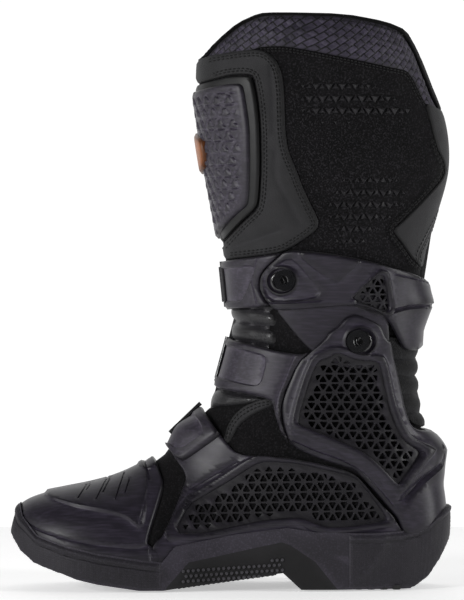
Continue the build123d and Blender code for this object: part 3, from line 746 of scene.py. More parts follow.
def stitches(name, lines, material, body, slot, d, pitch=3.0, length=2.1, width=0.55,
             sides=(1,), blend=None, closed=False):
    """Rows of small thread stitches standing on the surface."""
    out = Build()
    ring = [(math.cos(k * math.pi / 3), math.sin(k * math.pi / 3)) for k in range(6)]
    profile = [(-0.5, 0.35), (-0.3, 1.0), (0.3, 1.0), (0.5, 0.35)]
    for line in lines:
        q = resample(rounded(line, 2, closed), 0.7, closed)
        far = np.r_[0, np.cumsum(np.linalg.norm(np.diff(q, axis=0), axis=1))]
        at = np.arange(pitch / 2, far[-1], pitch)
        for s in sides:
            ends = []
            for shift in (-length / 2, length / 2):
                xz = np.stack([np.interp(at + shift, far, q[:, k]) for k in (0, 1)], 1)
                t, a = locate(xz)
                ends.append((surface(t, a * s, d), surface(t, a * s, d + 1.0)))
            for (p0, up0), (p1, _) in zip(zip(*ends[0]), zip(*ends[1])):
                axis = p1 - p0
                size = np.linalg.norm(axis)
                if size < 0.3 or size > 3 * length:
                    continue
                up = (up0 - p0) / np.linalg.norm(up0 - p0)
                side = np.cross(axis / size, up)
                side /= np.linalg.norm(side)
                mid = (p0 + p1) / 2
                verts = [mid + axis * k + width * r * (side * c + up * (w * 0.8))
                         for k, r in profile for c, w in ring]
                faces = [(6 * j + i, 6 * j + (i + 1) % 6, 6 * j + 6 + (i + 1) % 6, 6 * j + 6 + i)
                         for j in range(3) for i in range(6)]
                faces += [tuple(range(5, -1, -1)), tuple(range(18, 24))]
                out.add(verts, faces)
    return out.put(name, material, body, slot, (), 60, blend)


def parallel(line, amount):
    """Side-view line moved sideways by amount."""
    p = np.asarray(line, float)
    d = np.gradient(p, axis=0)
    d /= np.linalg.norm(d, axis=1, keepdims=True)
    return p + np.stack([-d[:, 1], d[:, 0]], 1) * amount


def lattice(outline, angle=0.0, origin=(0, 0), rib=1.15, pitch=TRIANGLE, row=ROW, margin=1.6):
    """Pockets (triangles) and rib lines of the triangle lattice inside a side-view outline."""
    c, s = math.cos(angle), math.sin(angle)
    turn = np.array([[c, -s], [s, c]])
    outline = np.asarray(outline, float)
    centre = outline.mean(0)
    reach = int(np.abs(outline - centre).max() / min(pitch, row)) + 4
    pockets = []
    inset = rib / 2
    for j in range(-reach, reach):
        for i in range(-2 * reach, 2 * reach):
            x0 = i * pitch + (j % 2) * pitch / 2
            for up in (True, False):
                if up:
                    tri = np.array([(x0, j * row), (x0 + pitch, j * row), (x0 + pitch / 2, (j + 1) * row)])
                else:
                    tri = np.array([(x0 + pitch, j * row), (x0 + 1.5 * pitch, (j + 1) * row),
                                    (x0 + pitch / 2, (j + 1) * row)])
                mid = tri.mean(0)
                small = mid + (tri - mid) * (1 - inset * 3.0 / row)
                small = small @ turn.T + centre + origin
                mid = small.mean(0, keepdims=True)
                if not inside(mid, outline)[0] or distance(mid, outline)[0] < margin + 0.6:
                    continue
                for k in range(3):
                    for share in (1.0, 0.85, 0.7, 0.55, 0.4, 0.25):
                        tip = mid + (small[k : k + 1] - mid) * share
                        if inside(tip, outline)[0] and distance(tip, outline)[0] >= margin:
                            break
                    small[k] = tip[0]
                span, other = small[1] - small[0], small[2] - small[0]
                if abs(span[0] * other[1] - span[1] * other[0]) < 0.22 * pitch * row * 0.55:
                    continue
                soft = []
                for k in range(3):
                    a, b, e = small[k - 1], small[k], small[(k + 1) % 3]
                    soft += [b + (a - b) * 0.16, b + (e - b) * 0.16]
                pockets.append(np.array(soft))
    return pockets


def lattice_panel(name, outline, d0, d1, material, body, slot, nodes, side, **shape_of):
    """Ribbed grille: a thin panel pierced by the lattice pockets, ribs rounded at the pockets."""
    pockets = lattice(rounded(outline, 1), **shape_of)
    outer = to_chart(outline, 2.4, 1)
    holes = []
    for pocket in pockets:
        t, a = locate(resample(pocket, 2.6))
        holes.append(chart(t, a))
    everything = np.vstack(holes)
    tree = kdtree.KDTree(len(everything))
    for i, p in enumerate(everything):
        tree.insert((p[0], p[1], 0), i)
    tree.balance()

    def roundness(v):
        far = np.array([tree.find((x, y, 0))[2] for x, y in v])
        return -0.5 * (1 - smooth(far / 0.55))

    return panel(name, outer, d0, d1, material, body, slot, nodes, holes, (), side, grid=1.9,
                 rings=(), charted=True, lift=roundness, sharp=50)


# ------------------------------------------------------------------ foot: soft upper
FOOT_TOP = [(-200, 112), (-60, 112), (-10, 129), (30, 140), (75, 168), (90, 170), (105, 168),
            (122, 120), (142, 112), (175, 106)]
upper = FOOT_TOP + [(175, 40), (147, 40), (100, 33), (40, 36), (-49, 14), (-92, 18), (-92, 40),
                    (-92, 84), (-97, 110)]
panel("foot_upper_soft", seamed(upper, ("front", "back"), 3.0, 0), -4.0, 0.0,
      MATS["textile_black"], "foot", "textile_black", ("foot_upper",), side="a", grid=4.5,
      rings=(2.0,), charted=True)

# ------------------------------------------------------------------ toe cap
TOE_CAP = [
    (-175, 110), (-110, 100), (-80, 104), (-57, 96), (-53, 88), (-47.5, 74), (-52, 58), (-58, 40),
    (-59.5, 33), (-56, 31), (-50, 27), (-47, 17), (-65, 19), (-94, 23), (-118, 28.5), (-138, 35),
    (-149, 48), (-152.5, 58), (-170, 64),
]
SHIFT_PAD = [(-133, 66), (-131, 61.5), (-110, 56.5), (-95, 54.5), (-80, 52), (-72, 49), (-65, 43.5),
             (-61.5, 46), (-59, 60), (-57, 70), (-60, 86), (-72, 100), (-110, 95), (-132, 85)]
TOE_SLANTS = [[(-108, 61), (-98, 75)], [(-102, 66), (-94, 77)], [(-95, 60.5), (-85, 78)],
              [(-90, 65), (-82, 79)], [(-81, 61), (-75, 77)], [(-74, 65), (-71, 73)]]
toe_features = [("edge", 1.6, 1.2), ("step", SHIFT_PAD, 1.9, 2.6)]
toe_features += [("groove", line, 0.9, 0.9) for line in TOE_SLANTS]
toe_features += [("groove", [(-62, 92), (-56, 74), (-64, 46)], 1.0, 0.7),
                 ("step", [(-72, 100), (-69, 84), (-58, 80), (-45, 90), (-50, 104)], 1.2, 1.6),
                 ("groove", [(-58, 34), (-57, 20)], 0.5, 0.5),
                 ("groove", [(-146, 47), (-136, 41), (-118, 36), (-94, 31.5), (-66, 29), (-58, 32)],
                  1.4, 0.8)]
panel("toe_cap_shell", seamed(TOE_CAP, ("front",), 2.4, 1), 0.0, 3.4, MATS["polymer_dark"], "foot",
      "polymer_dark", ("toe_cap", "shift_pad"), features=toe_features, side="f", grid=2.8,
      charted=True)

# ------------------------------------------------------------------ foot guards
GUARD = [
    (-48, 106), (-38, 119), (-24, 133), (-16, 120), (-10, 113), (-2, 103), (3, 97), (10, 94.5),
    (25, 93.5), (40, 92), (60, 89), (80, 84), (88, 80), (95, 72), (105, 60), (112, 53), (119, 45),
    (124, 37), (100, 36), (70, 35), (40, 39), (0, 34), (-38, 26), (-49, 16), (-60, 20), (-54, 34),
    (-48, 38), (-40, 55), (-33, 72), (-31, 78), (-33, 83), (-38, 90), (-44, 99),
]
GUARD_WINDOW = [
    (-40, 40), (-29, 59), (-15, 67), (0, 76), (18, 88), (25, 90), (45, 89), (60, 86), (85, 80),
    (91, 75.5), (109, 51), (107, 48.5), (72, 44), (60, 47), (50, 51), (40, 51), (20, 48.5),
    (0, 44), (-20, 40),
]
GUARD_RAISE = [
    (-50, 36), (-33, 63), (-17, 72), (-3, 81), (14, 92), (24, 95), (48, 94), (64, 90.5), (88, 84.5),
    (96, 78), (116, 50), (110, 44), (72, 39.5), (58, 42), (48, 46.5), (20, 43.5), (-20, 35),
]
guard_features = [
    ("edge", 1.8, 1.5), ("step", GUARD_RAISE, 1.9, 2.0),
    ("groove", [(-28, 70), (-10, 81), (5, 90)], 0.9, 1.0),
    ("step", [(-60, 28), (-52, 37), (-45, 55), (-38, 72), (-36, 78), (-39, 84), (-48, 80), (-70, 40)],
     -0.4, 1.0),
]
panel("medial_guard_frame", to_chart(GUARD), 0.0, 3.3, MATS["polymer_dark"], "foot", "polymer_dark",
      ("medial_foot_guard",), holes=[to_chart(GUARD_WINDOW)], features=guard_features, grid=2.8,
      charted=True)
lattice_panel("medial_guard_lattice", GUARD_WINDOW, 0.2, 2.6, MATS["polymer_mesh"], "foot",
              "polymer_mesh", ("medial_guard_mesh",), "m", angle=0.02, margin=2.2)
GUARD_OUTER = [
    (-40, 98), (-28, 104), (-2, 103), (5, 96), (25, 93.5), (60, 89), (80, 84), (88, 80), (95, 72),
    (112, 53), (119, 45), (124, 37), (100, 36), (40, 39), (0, 34), (-38, 26), (-49, 16), (-60, 20),
    (-48, 38), (-40, 55), (-33, 72), (-31, 79),
]
panel("lateral_guard_frame", to_chart(GUARD_OUTER), 0.0, 2.3, MATS["polymer_dark"], "foot",
      "polymer_dark", ("lateral_foot_guard",), holes=[to_chart(GUARD_WINDOW)],
      features=[("edge", 1.4, 0.9)], side="l", grid=3.2, charted=True)
lattice_panel("lateral_guard_lattice", GUARD_WINDOW, 0.2, 2.0, MATS["polymer_mesh"], "foot",
              "polymer_mesh", ("lateral_guard_mesh",), "l", angle=0.02, margin=2.2)

# ------------------------------------------------------------------ ankle brace with heel counter
BRACE = [
    (57, 169), (66, 178), (69, 183), (75, 187), (80, 193), (83, 195), (88, 196.5), (100, 191),
    (104, 188), (108, 178), (111, 177), (112, 170), (113, 163), (115, 155), (118, 140), (121, 125),
    (125, 115), (130, 112), (137, 111), (142, 108), (150, 105), (175, 100), (175, 58), (150, 54),
    (142, 46), (132, 41), (122, 37), (117, 50), (110, 58), (100, 70), (90, 81), (85, 85), (75, 88),
    (60, 93), (45, 100), (41, 105), (37.5, 117), (37, 128), (39, 137), (48.5, 161),
]
BRACE_WINDOW = [
    (73, 168), (69, 164.5), (62, 162), (57, 150), (52, 133), (47.5, 117), (49, 114.5), (60, 110),
    (75, 104), (90, 97), (98, 91), (106, 83), (114, 74), (116.5, 74.5), (130, 94), (131, 96.5),
    (120, 104), (114, 115), (109, 130), (106, 145), (103, 159), (101, 162), (88, 163), (82, 165),
    (77, 168),
]
BRACE_RAISE = [
    (70, 173), (58, 166), (52, 151), (47, 134), (42.5, 116), (45, 110), (58, 105), (73, 99),
    (88, 92), (97, 85), (104, 78), (114, 67), (120, 69), (134.5, 92), (136, 98), (124, 107),
    (118, 117), (113, 131), (110, 146), (107, 162), (104, 167), (90, 167.5), (84, 169.5), (78, 173),
]
HEEL_SLOT = [(119, 64), (137, 82), (142, 87), (141, 94)]
brace_features = [
    ("edge", 2.0, 1.7), ("step", BRACE_RAISE, 2.0, 2.0), ("groove", HEEL_SLOT, 2.0, 2.6),
    ("groove", [(44, 104), (60, 97), (76, 91.5), (90, 84.5), (102, 72), (112, 60)], 0.9, 0.9),
]
PIVOT = np.array([90.0, 177.0])


def circle(centre, radius, count=36):
    return [(centre[0] + radius * math.cos(k * 2 * math.pi / count),
             centre[1] + radius * math.sin(k * 2 * math.pi / count)) for k in range(count)]


seat_hole = to_chart(circle(PIVOT, 4.4, 24), 1.2, 0)
brace_features += [("step", circle(PIVOT, 11.2), 1.1, 1.4), ("step", circle(PIVOT, 9.2), -2.4, 1.2)]


def rear_ridge(z_marks, heights, x_from, x_over):
    """Lift that grows towards the back line, with a given profile over Z."""
    def lift(v):
        p = surface(*unchart(v))
        return np.interp(p[:, 2], z_marks, heights) * smooth((p[:, 0] - x_from) / x_over)
    return lift


heel_ridge = rear_ridge((58, 72, 86, 96, 103, 109, 117), (2.5, 1.5, 5.0, 8.5, 6.0, 2.5, 0.0), 122, 22)
panel("ankle_brace_shell", seamed(BRACE, ("back",)), 3.2, 5.6, MATS["polymer_dark"], "foot",
      "polymer_dark", ("ankle_brace",), holes=[to_chart(BRACE_WINDOW), seat_hole],
      features=brace_features, side="k", grid=2.7, charted=True, lift=heel_ridge)
HEEL_PART = [
    (123, 118), (130, 110.5), (142, 107), (175, 100), (175, 58), (150, 54), (142, 46), (132, 41),
    (122, 37), (118, 50), (111, 59), (101, 71), (90, 83), (76, 89), (96, 90), (105, 82), (115, 71.5),
    (133, 94.5), (133.5, 98), (122, 106), (119, 112),
]
panel("heel_counter_core", seamed(HEEL_PART, ("back",)), 0.0, 3.6, MATS["polymer_dark"], "foot",
      "polymer_dark", side="k", grid=4.0, rings=(), charted=True)
lattice_panel("brace_lattice", BRACE_WINDOW, 2.9, 4.9, MATS["polymer_mesh"], "foot", "polymer_mesh",
              ("medial_brace_mesh", "lateral_brace_mesh"), "b", margin=1.8, row=6.9, pitch=8.0)
panel("brace_backing", to_chart([(75, 170), (60, 164), (46, 117), (60, 107), (98, 89), (114, 71),
                                 (133, 95), (120, 106), (109, 136), (104, 163)]),
      0.1, 0.6, MATS["textile_black"], "foot", "textile_black", side="b", grid=6.0, rings=(),
      charted=True)

# ------------------------------------------------------------------ cuff frame and blades
CUFF_FRAME = [
    (39, 241), (45, 242), (60, 241), (75, 239), (90, 236), (100, 233.5), (115, 229), (125, 226),
    (135, 221), (141, 217), (175, 212), (175, 184), (144, 188), (138, 178), (131, 170), (121, 170),
    (115, 182), (110, 192), (104, 197), (93, 202), (85, 203), (70, 202), (50, 200), (34, 199),
    (30, 203), (26, 208), (23, 216), (24, 224), (28, 230), (34, 236),
]
CUFF_OUTER = [
    (50, 240), (60, 241), (75, 239), (90, 236), (100, 233.5), (115, 229), (125, 226), (135, 221),
    (141, 217), (175, 212), (175, 184), (144, 188), (138, 178), (131, 170), (121, 170), (115, 182),
    (110, 192), (104, 197), (93, 202), (85, 203), (70, 202), (50, 201), (44, 208), (42, 218),
    (44, 232),
]
CUFF_WINDOW = [(85, 207.5), (87, 211), (101, 225), (104.5, 225), (106.5, 222), (109.5, 201),
               (108, 198.5), (105, 199)]
FRAME_BOLT = (38.0, 220.5)
cuff_features = [
    ("edge", 1.6, 1.3),
    ("step", [(39, 235.5), (46, 236), (64, 213), (60, 208), (34, 205), (27, 210), (26, 224)], -1.5, 1.5),
    ("step", [(50, 238), (60, 229), (70, 221.5), (75, 219), (83, 227), (91, 236), (70, 246), (52, 246)],
     1.5, 1.4),
    ("groove", [(30, 204.5), (48, 205), (63, 206)], 0.8, 0.8),
    ("groove", [(114, 225), (126, 222), (139, 217)], 0.9, 0.8),
    ("groove", [(113, 199), (124, 202), (141, 203)], 1.8, 2.0),
    ("step", [(82, 206), (102, 229), (107, 228), (109, 225), (113, 199), (110, 195), (104, 196)],
     1.3, 1.2),
    ("step", circle(FRAME_BOLT, 11.0), 1.6, 1.4), ("step", circle(FRAME_BOLT, 8.8), -2.6, 1.0),
]
window = to_chart(CUFF_WINDOW)
cuff_ridge = rear_ridge((184, 195, 205, 212, 220), (0.5, 4.0, 7.0, 4.0, 1.5), 118, 20)
cuff = Build()
panel("cuff_frame_shell", seamed(CUFF_FRAME, ("back",)), 2.6, 5.6, None, None, None,
      holes=[window, to_chart(circle(FRAME_BOLT, 3.4, 24), 1.0, 0)], features=cuff_features,
      side="m", grid=2.7, charted=True, build=cuff, lift=cuff_ridge)
panel("cuff_frame_shell", seamed(CUFF_OUTER, ("back",)), 2.6, 5.6, None, None, None,
      holes=[window], features=cuff_features[:1] + cuff_features[2:3] + cuff_features[4:7],
      side="l", grid=2.7, charted=True, build=cuff, lift=cuff_ridge)
cuff.put("cuff_frame_shell", MATS["polymer_dark"], "cuff", "polymer_dark", ("cuff_frame",))
lattice_panel("cuff_frame_lattice", [(82, 204), (103, 229), (107, 228), (113, 198), (106, 194)],
              2.7, 4.6, MATS["polymer_mesh"], "cuff", "polymer_mesh", ("cuff_frame_mesh",), "b",
              margin=1.4, row=6.0, pitch=6.9)
BLADE = [
    (33, 199), (40, 190), (47, 181), (57, 170), (70, 160), (90, 156), (106, 158), (112, 166),
    (111, 192), (107, 210), (60, 214), (34, 212),
]
for side, word in (("m", "medial"), ("l", "lateral")):
    panel(f"{word}_blade", to_chart(BLADE), 0.4, 2.4, MATS["polymer_dark"], "cuff", "polymer_dark",
          (f"{word}_cuff_blade",), holes=[to_chart(circle(PIVOT, 4.1, 24), 1.0, 0)],
          features=[("edge", 1.2, 0.9)], side=side, grid=4.0, charted=True)

# ------------------------------------------------------------------ strap arms, inner side
TOP_ARM = [
    (-40, 233), (-9, 232), (0, 234.5), (10, 236), (20, 237.5), (30, 239), (37.5, 240.3), (33, 235.4),
    (27.2, 230), (23.2, 224), (22.2, 216), (25.2, 208), (29.4, 202.6), (20, 201), (5, 200),
    (-3, 200), (-9, 202), (-40, 203),
]
TOP_INSET = [(-30, 229), (-7, 228.5), (5, 229.5), (17, 231.5), (20, 229.5), (19, 225), (13, 208.5),
             (10, 205.5), (-3, 204), (-30, 205)]
ANKLE_ARM = [
    (-40, 174), (-9, 173.5), (0, 177), (5, 176.5), (20, 173), (35, 169), (50, 167), (57, 168.8),
    (49, 161.4), (38.4, 137), (36.4, 128), (36.9, 117), (40.4, 105.4), (36, 110), (33, 120),
    (31, 130), (30, 134), (15, 138), (0, 140), (-8, 141.5), (-13, 147), (-40, 148),
]
ANKLE_INSET = [(-40, 171), (-9, 170.5), (-1, 173), (10, 170.3), (24, 166.6), (27.2, 164.5),
               (27.5, 160), (24.5, 147.5), (22, 144.2), (18, 143.2), (-10, 149.5), (-40, 152)]
INSTEP_ARM = [
    (-60, 102), (-45, 112), (-27, 131), (-20, 128.5), (-10, 113), (-6, 107.5), (-14, 101.5),
    (-24, 94), (-32, 88.5), (-36, 90), (-42, 97), (-48, 105),
]
INSTEP_INSET = [(-56, 98), (-44, 107.5), (-27, 124.5), (-17.5, 113), (-17, 107), (-22, 103),
                (-30, 97), (-36, 96), (-40.5, 99.5)]
FOLD = [(46, 165), (39.5, 148), (35, 137), (33.4, 127), (34, 117), (38, 108)]
panel("top_arm", kept_off(TOP_ARM, 5.0), 0.6, 5.9, MATS["polymer_grey"], "cuff", "polymer_grey",
      ("top_strap_arm",),
      features=[("edge", 2.0, 1.7), ("step", TOP_INSET, -1.9, 1.5),
                ("groove", [(22, 236), (18, 222), (22, 204)], 0.7, 0.6)], grid=2.6, charted=True)
panel("ankle_arm", kept_off(ANKLE_ARM, 5.0), 2.4, 5.9, MATS["polymer_grey"], "foot",
      "polymer_grey", ("ankle_strap_arm",),
      features=[("edge", 2.0, 1.7), ("step", ANKLE_INSET, -1.9, 1.5), ("groove", FOLD, 1.0, 1.0)],
      grid=2.6, charted=True)
panel("instep_arm", kept_off(INSTEP_ARM, 5.0), 3.2, 7.0, MATS["polymer_grey"], "foot",
      "polymer_grey", ("instep_strap_arm",),
      features=[("edge", 2.0, 1.7), ("step", INSTEP_INSET, -1.6, 1.4)], grid=2.4, charted=True)

# ------------------------------------------------------------------ shaft, collar and rim
COLLAR_EDGE = [(-60, 338), (-24, 361), (-8, 373), (8, 381), (20, 385.5), (36, 386), (52, 383.5),
               (70, 380), (85, 377), (100, 374), (115, 371), (125, 369.5), (130, 363), (133.5, 355),
               (139, 345), (150, 336), (190, 327)]
RIM_EDGE = [(-60, 358), (-22, 375), (-8, 389.5), (6, 401), (20, 407), (32, 408), (79, 407),
            (108, 402), (121, 397.5), (129.5, 385), (137, 366.5), (143, 351), (149.5, 340), (190, 331)]
TOP_EDGE = [(-60, 361), (-22, 378), (-9, 391.5), (5, 403), (20, 409.5), (32, 410), (80, 409),
            (110, 404), (124, 399), (132, 386), (140, 368), (146, 352), (152, 342), (190, 334)]
SHAFT_LOW = [(175, 168), (120, 178), (90, 183), (75, 189), (30, 205), (-60, 205)]


def band(top, bottom, seams=("front", "back"), step=3.0):
    """Closed chart outline between an upper and a lower side-view line, front to back."""
    high, low = to_chart(top, step, 1, False), to_chart(bottom, step, 1, False)
    return clean(np.vstack([high, low[::-1]]), seams)


panel("shaft_suede", band(COLLAR_EDGE, SHAFT_LOW[::-1]), -4.0, 0.0, MATS["suede_black"], "cuff",
      "suede_black", ("shaft",), side="a", grid=5.0, rings=(2.0,), charted=True)


collar_line = band(RIM_EDGE, COLLAR_EDGE)
BLOCK_LONG, BLOCK_SHORT = 6.4, 4.1      # mm, the collar's woven blocks


def weave_relief(v):
    """Padded collar with slanted woven blocks in brick order, every second one lying deeper."""
    u, w = v[:, 0] * 1.3, v[:, 1]
    along = u * 0.80 - w * 0.60
    over = u * 0.60 + w * 0.80
    row = np.floor(over / BLOCK_SHORT)
    shifted = along + BLOCK_LONG / 2 * np.mod(row, 2)
    cell = np.floor(shifted / BLOCK_LONG)
    edge_short = BLOCK_SHORT / 2 - np.abs(over - (row + 0.5) * BLOCK_SHORT)
    edge_long = BLOCK_LONG / 2 - np.abs(shifted - (cell + 0.5) * BLOCK_LONG)
    block = smooth(np.minimum(edge_short, edge_long) / 0.9)
    deep = 0.3 * np.mod(cell + row, 2)
    far = distance(v, collar_line)
    return (0.9 - deep) * block * smooth((far - 0.6) / 1.6) + 1.3 * smooth(far / 14) - 0.5


collar = panel("collar_weave", collar_line, -4.0, 0.2, MATS["collar_weave"], "cuff",
               "collar_weave", ("collar",), side="a", grid=1.15, rings=(1.0,), charted=True,
               lift=weave_relief)
rim = panel("collar_rim", band(TOP_EDGE, RIM_EDGE), -9.2, 1.6, MATS["textile_black"], "cuff",
            "textile_black", ("collar_binding",), side="a", grid=2.2, rings=(0.6, 1.4),
            features=[("edge", 1.4, 1.0)], charted=True)
panel("liner_upper", band(RIM_EDGE, SHAFT_LOW[::-1]), -8.8, -4.2, MATS["liner_fabric"], "cuff",
      "liner_fabric", ("liner_cuff",), side="a", grid=6.0, rings=(2.0,), charted=True)
panel("liner_lower", seamed([(-90, 100), (-60, 108), (-10, 125), (30, 137), (75, 165), (90, 167),
                             (105, 165), (122, 117), (142, 109), (175, 103), (175, 42), (147, 40),
                             (100, 33), (40, 33), (-40, 22), (-90, 22)], ("front", "back"), 3.0, 0),
      -8.8, -4.2, MATS["liner_fabric"], "foot", "liner_fabric", ("liner_foot",), side="a",
      grid=6.0, rings=(2.0,), charted=True)
panel("liner_middle", band([(-60, 204), (30, 204), (75, 188), (90, 182), (120, 177), (175, 167)],
                           [(-60, 113), (-10, 126), (30, 138), (75, 166), (90, 168), (105, 166),
                            (122, 118), (142, 110), (175, 104)]),
      -8.8, -4.2, MATS["liner_fabric"], None, "liner_fabric", ("liner_ankle",), side="a", grid=5.0,
      rings=(2.0,), charted=True, blend=ANKLE)

# pyramid studs of the shaft, two clusters fading out at their edges
studs = Build()


STUD_PITCH, STUD_ROW = 9.3, 8.6
STUD_BIG, STUD_SMALL = 3.6, 2.7
STUD_FADE = 12.0        # the studs reach their full size this far inside their field


def stud_field(outline):
    """Three-sided pyramids, point down, in staggered rows; small upright ones between them."""
    outline = np.asarray(outline, float)
    low, high = outline.min(0), outline.max(0)
    places = []
    for j, z in enumerate(np.arange(low[1], high[1], STUD_ROW)):
        for x in np.arange(low[0] + (j % 2) * STUD_PITCH / 2, high[0], STUD_PITCH):
            places += [(x, z, -1, STUD_BIG), (x + STUD_PITCH / 2, z - 0.6, 1, STUD_SMALL)]
    places = np.array(places)
    places = places[inside(places[:, :2], outline)]
    edge = distance(places[:, :2], outline)
    for (x, z, up, size), far in zip(places, edge):
        scale = min(1.0, 0.35 + far / STUD_FADE)
        r = size * scale
        tri = [(x + r * math.cos(math.radians(k)), z + r * 0.95 * math.sin(math.radians(k)) * up)
               for k in (90, 210, 330)]
        t, a = locate(np.array(tri + [(x, z)]))
        for s in (1, -1):
            base = surface(t, a * s, -0.6)
            tip = surface(t[3:], a[3:] * s, 0.62 * r)
            shoulder = surface(t[:3], a[:3] * s, 0.2)
            shoulder = shoulder * 0.93 + shoulder.mean(0) * 0.07
            flat = tip + (shoulder - shoulder.mean(0)) * 0.1
            verts = np.vstack([base[:3], shoulder, flat])
            faces = [(2, 1, 0), (6, 7, 8)]
            for k in range(2):
                faces += [(3 * k + i, 3 * k + (i + 1) % 3, 3 * k + 3 + (i + 1) % 3, 3 * k + 3 + i)
                          for i in range(3)]
            n = np.cross(verts[7] - verts[6], verts[8] - verts[6])
            if n @ (tip[0] - base[3]) < 0:
                faces = [f[::-1] for f in faces]
            studs.add(verts, faces)


UPPER_STUDS = [(50, 338), (46, 350), (52, 362), (72, 366), (92, 362), (112, 353), (128, 342),
               (129, 334), (90, 332), (60, 332)]
LOWER_STUDS = [(70, 262), (66, 276), (76, 290), (92, 298), (110, 297), (122, 289), (126, 278),
               (117, 266), (104, 258), (96, 246), (84, 240), (74, 246)]
stud_field(UPPER_STUDS)
stud_field(LOWER_STUDS)
studs.put("shaft_studs", MATS["stud_black"], "cuff", "suede_black", sharp=20)

# ------------------------------------------------------------------ leather panels of the leg
CALF = [
    (138, 346), (144, 344), (151, 341), (175, 336), (175, 262), (148, 269), (140, 240), (139, 231),
    (136, 229.5), (129, 235.5), (122, 246), (115, 255), (115.5, 257.5), (120, 261), (130, 271),
    (140, 281), (150, 292), (153, 299), (151, 306), (147, 313), (144.5, 321), (142, 332),
]
FLAP_OUT = [
    (-70, 366), (-25, 377), (-15, 380), (0, 382), (15, 383.5), (22, 383), (28, 380), (33, 374),
    (36, 366), (37.5, 355), (38, 340), (38.5, 325), (40, 315), (42, 308), (46, 299), (50, 288),
    (55, 277), (60, 267), (62, 262), (61, 257), (55, 252), (45, 245), (38, 241), (30, 239),
    (15, 237), (-3, 235), (-60, 234),
]
FLAP_IN = [(-60, 243), (-7, 243), (0, 251), (10, 262), (20, 271), (21.5, 280), (22.5, 300),
           (22, 330), (20, 350), (17, 365), (13, 366.3), (0, 366), (-10, 363.5), (-24, 361),
           (-60, 356)]
FLAP = FLAP_OUT + FLAP_IN
DOOR = ("cuff", "shin_door", (0.046, -0.060, 0), (0.016, -0.045, 0))
CREASES = [[(33, 312), (32.5, 293), (38, 283), (45, 270), (49, 262)], [(5, 244), (20, 250), (36, 256)],
           [(29, 372), (31, 350), (31.5, 325)]]
panel("calf_leather", seamed(CALF, ("back",)), 0.0, 1.8, MATS["leather_grey"], "cuff",
      "leather_grey", ("calf_panel",), side="k", grid=4.0, rings=(0.6, 1.6),
      features=[("edge", 1.2, 0.8), ("groove", [(136, 228), (131, 236), (140, 254), (149, 272)],
                                     0.8, 0.6)], charted=True)
panel("flap_leather", seamed(FLAP, ("front",), 2.4, 1), 0.0, 2.4, MATS["leather_grey"], None,
      "leather_grey", ("shin_flap",), side="f", grid=3.0, rings=(0.6, 1.6, 3.0),
      features=[("edge", 1.6, 1.1)] + [("groove", c, 2.2, 0.7) for c in CREASES], charted=True,
      blend=DOOR)
flap_rows = [parallel(FLAP_OUT[2:-1], k) for k in (-2.6, -4.4)]
flap_rows += [parallel(FLAP_IN[1:-2], k) for k in (-2.2, -4.0)]
stitches("flap_stitches", flap_rows, MATS["thread"], None, "leather_grey", 2.35, sides=(1, -1),
         blend=DOOR)
calf_rows = [parallel(CALF[8:-1], k) for k in (2.2, 3.8)]
calf_rows += [parallel([(136, 230), (131, 237), (140, 254), (149, 271)], k) for k in (-1.6, 1.6)]
collar_rows = [parallel(COLLAR_EDGE[4:15], k) for k in (-1.4, -3.2)]
stitches("calf_stitches", calf_rows, MATS["thread"], "cuff", "leather_grey", 1.75, sides=(1, -1))
stitches("collar_stitches", collar_rows, MATS["thread_grey"], "cuff", "suede_black", 0.05,
         sides=(1, -1), pitch=2.6, length=1.7, width=0.45)
stitches("rim_stitches", [parallel(TOP_EDGE[4:9], -4.6)], MATS["thread_grey"], "cuff",
         "textile_black", 1.0, sides=(1, -1), pitch=2.4, length=1.2, width=0.4)

# ------------------------------------------------------------------ shin closure
CARRIER = [
    (-60, 354), (-24, 359.6), (-10, 362.2), (0, 364.6), (12.4, 364.8), (15.8, 363.4), (18.8, 349),
    (20.8, 330), (21.3, 300), (20.3, 281), (19, 272.4), (9.2, 263), (-1, 252), (-7.4, 245.4),
    (-60, 245),
]
SHIN_PLATE = [
    (-60, 352), (-26, 354.5), (-15, 357), (0, 359.5), (10, 359.5), (12, 350), (15, 330),
    (15.5, 305), (15, 283), (14, 274), (8, 269), (0, 261), (-6, 252), (-10, 247.5), (-60, 246),
]
panel("shin_surround", seamed(CARRIER, ("front",)), 0.4, 3.0, MATS["surround_black"], "shin_door",
      "polymer_mesh", ("shin_carrier",), side="f", grid=3.4, rings=(0.6, 1.6),
      features=[("edge", 1.6, 1.2)], charted=True)
plate_outline = seamed(SHIN_PLATE, ("front",))
ARMOUR_PITCH, ARMOUR_ROW = 9.2, 8.4     # mm, triangle spacing along the girth and up the shin


def armour_relief(v):
    """Raised upright triangles in staggered rows, each ringed by a groove, flat near the rim."""
    t, a = unchart(v)
    height = surface(t, a)[:, 2]
    arc = a * 58.0
    row = np.floor(height / ARMOUR_ROW)
    up = height - row * ARMOUR_ROW - 1.0
    along = np.mod(arc + ARMOUR_PITCH / 2 * row, ARMOUR_PITCH) - ARMOUR_PITCH / 2
    side = (ARMOUR_ROW - 1.6 - up) * 0.46 - np.abs(along) * 0.9
    into = np.minimum(up, side)
    raised = 0.8 * smooth(into / 0.5) - 0.9 * smooth(1 - np.abs(into + 0.6) / 0.8)
    dot = np.hypot(np.mod(along, ARMOUR_PITCH) - ARMOUR_PITCH / 2, up - 4.6)
    raised += 0.35 * smooth(1 - dot / 1.1)
    return raised * smooth((distance(v, plate_outline) - 3.0) / 3.0) + plate_crown(v)


def plate_crown(v):
    """The plate is fullest along the front line."""
    return smooth(1 - v[:, 0] / 46)


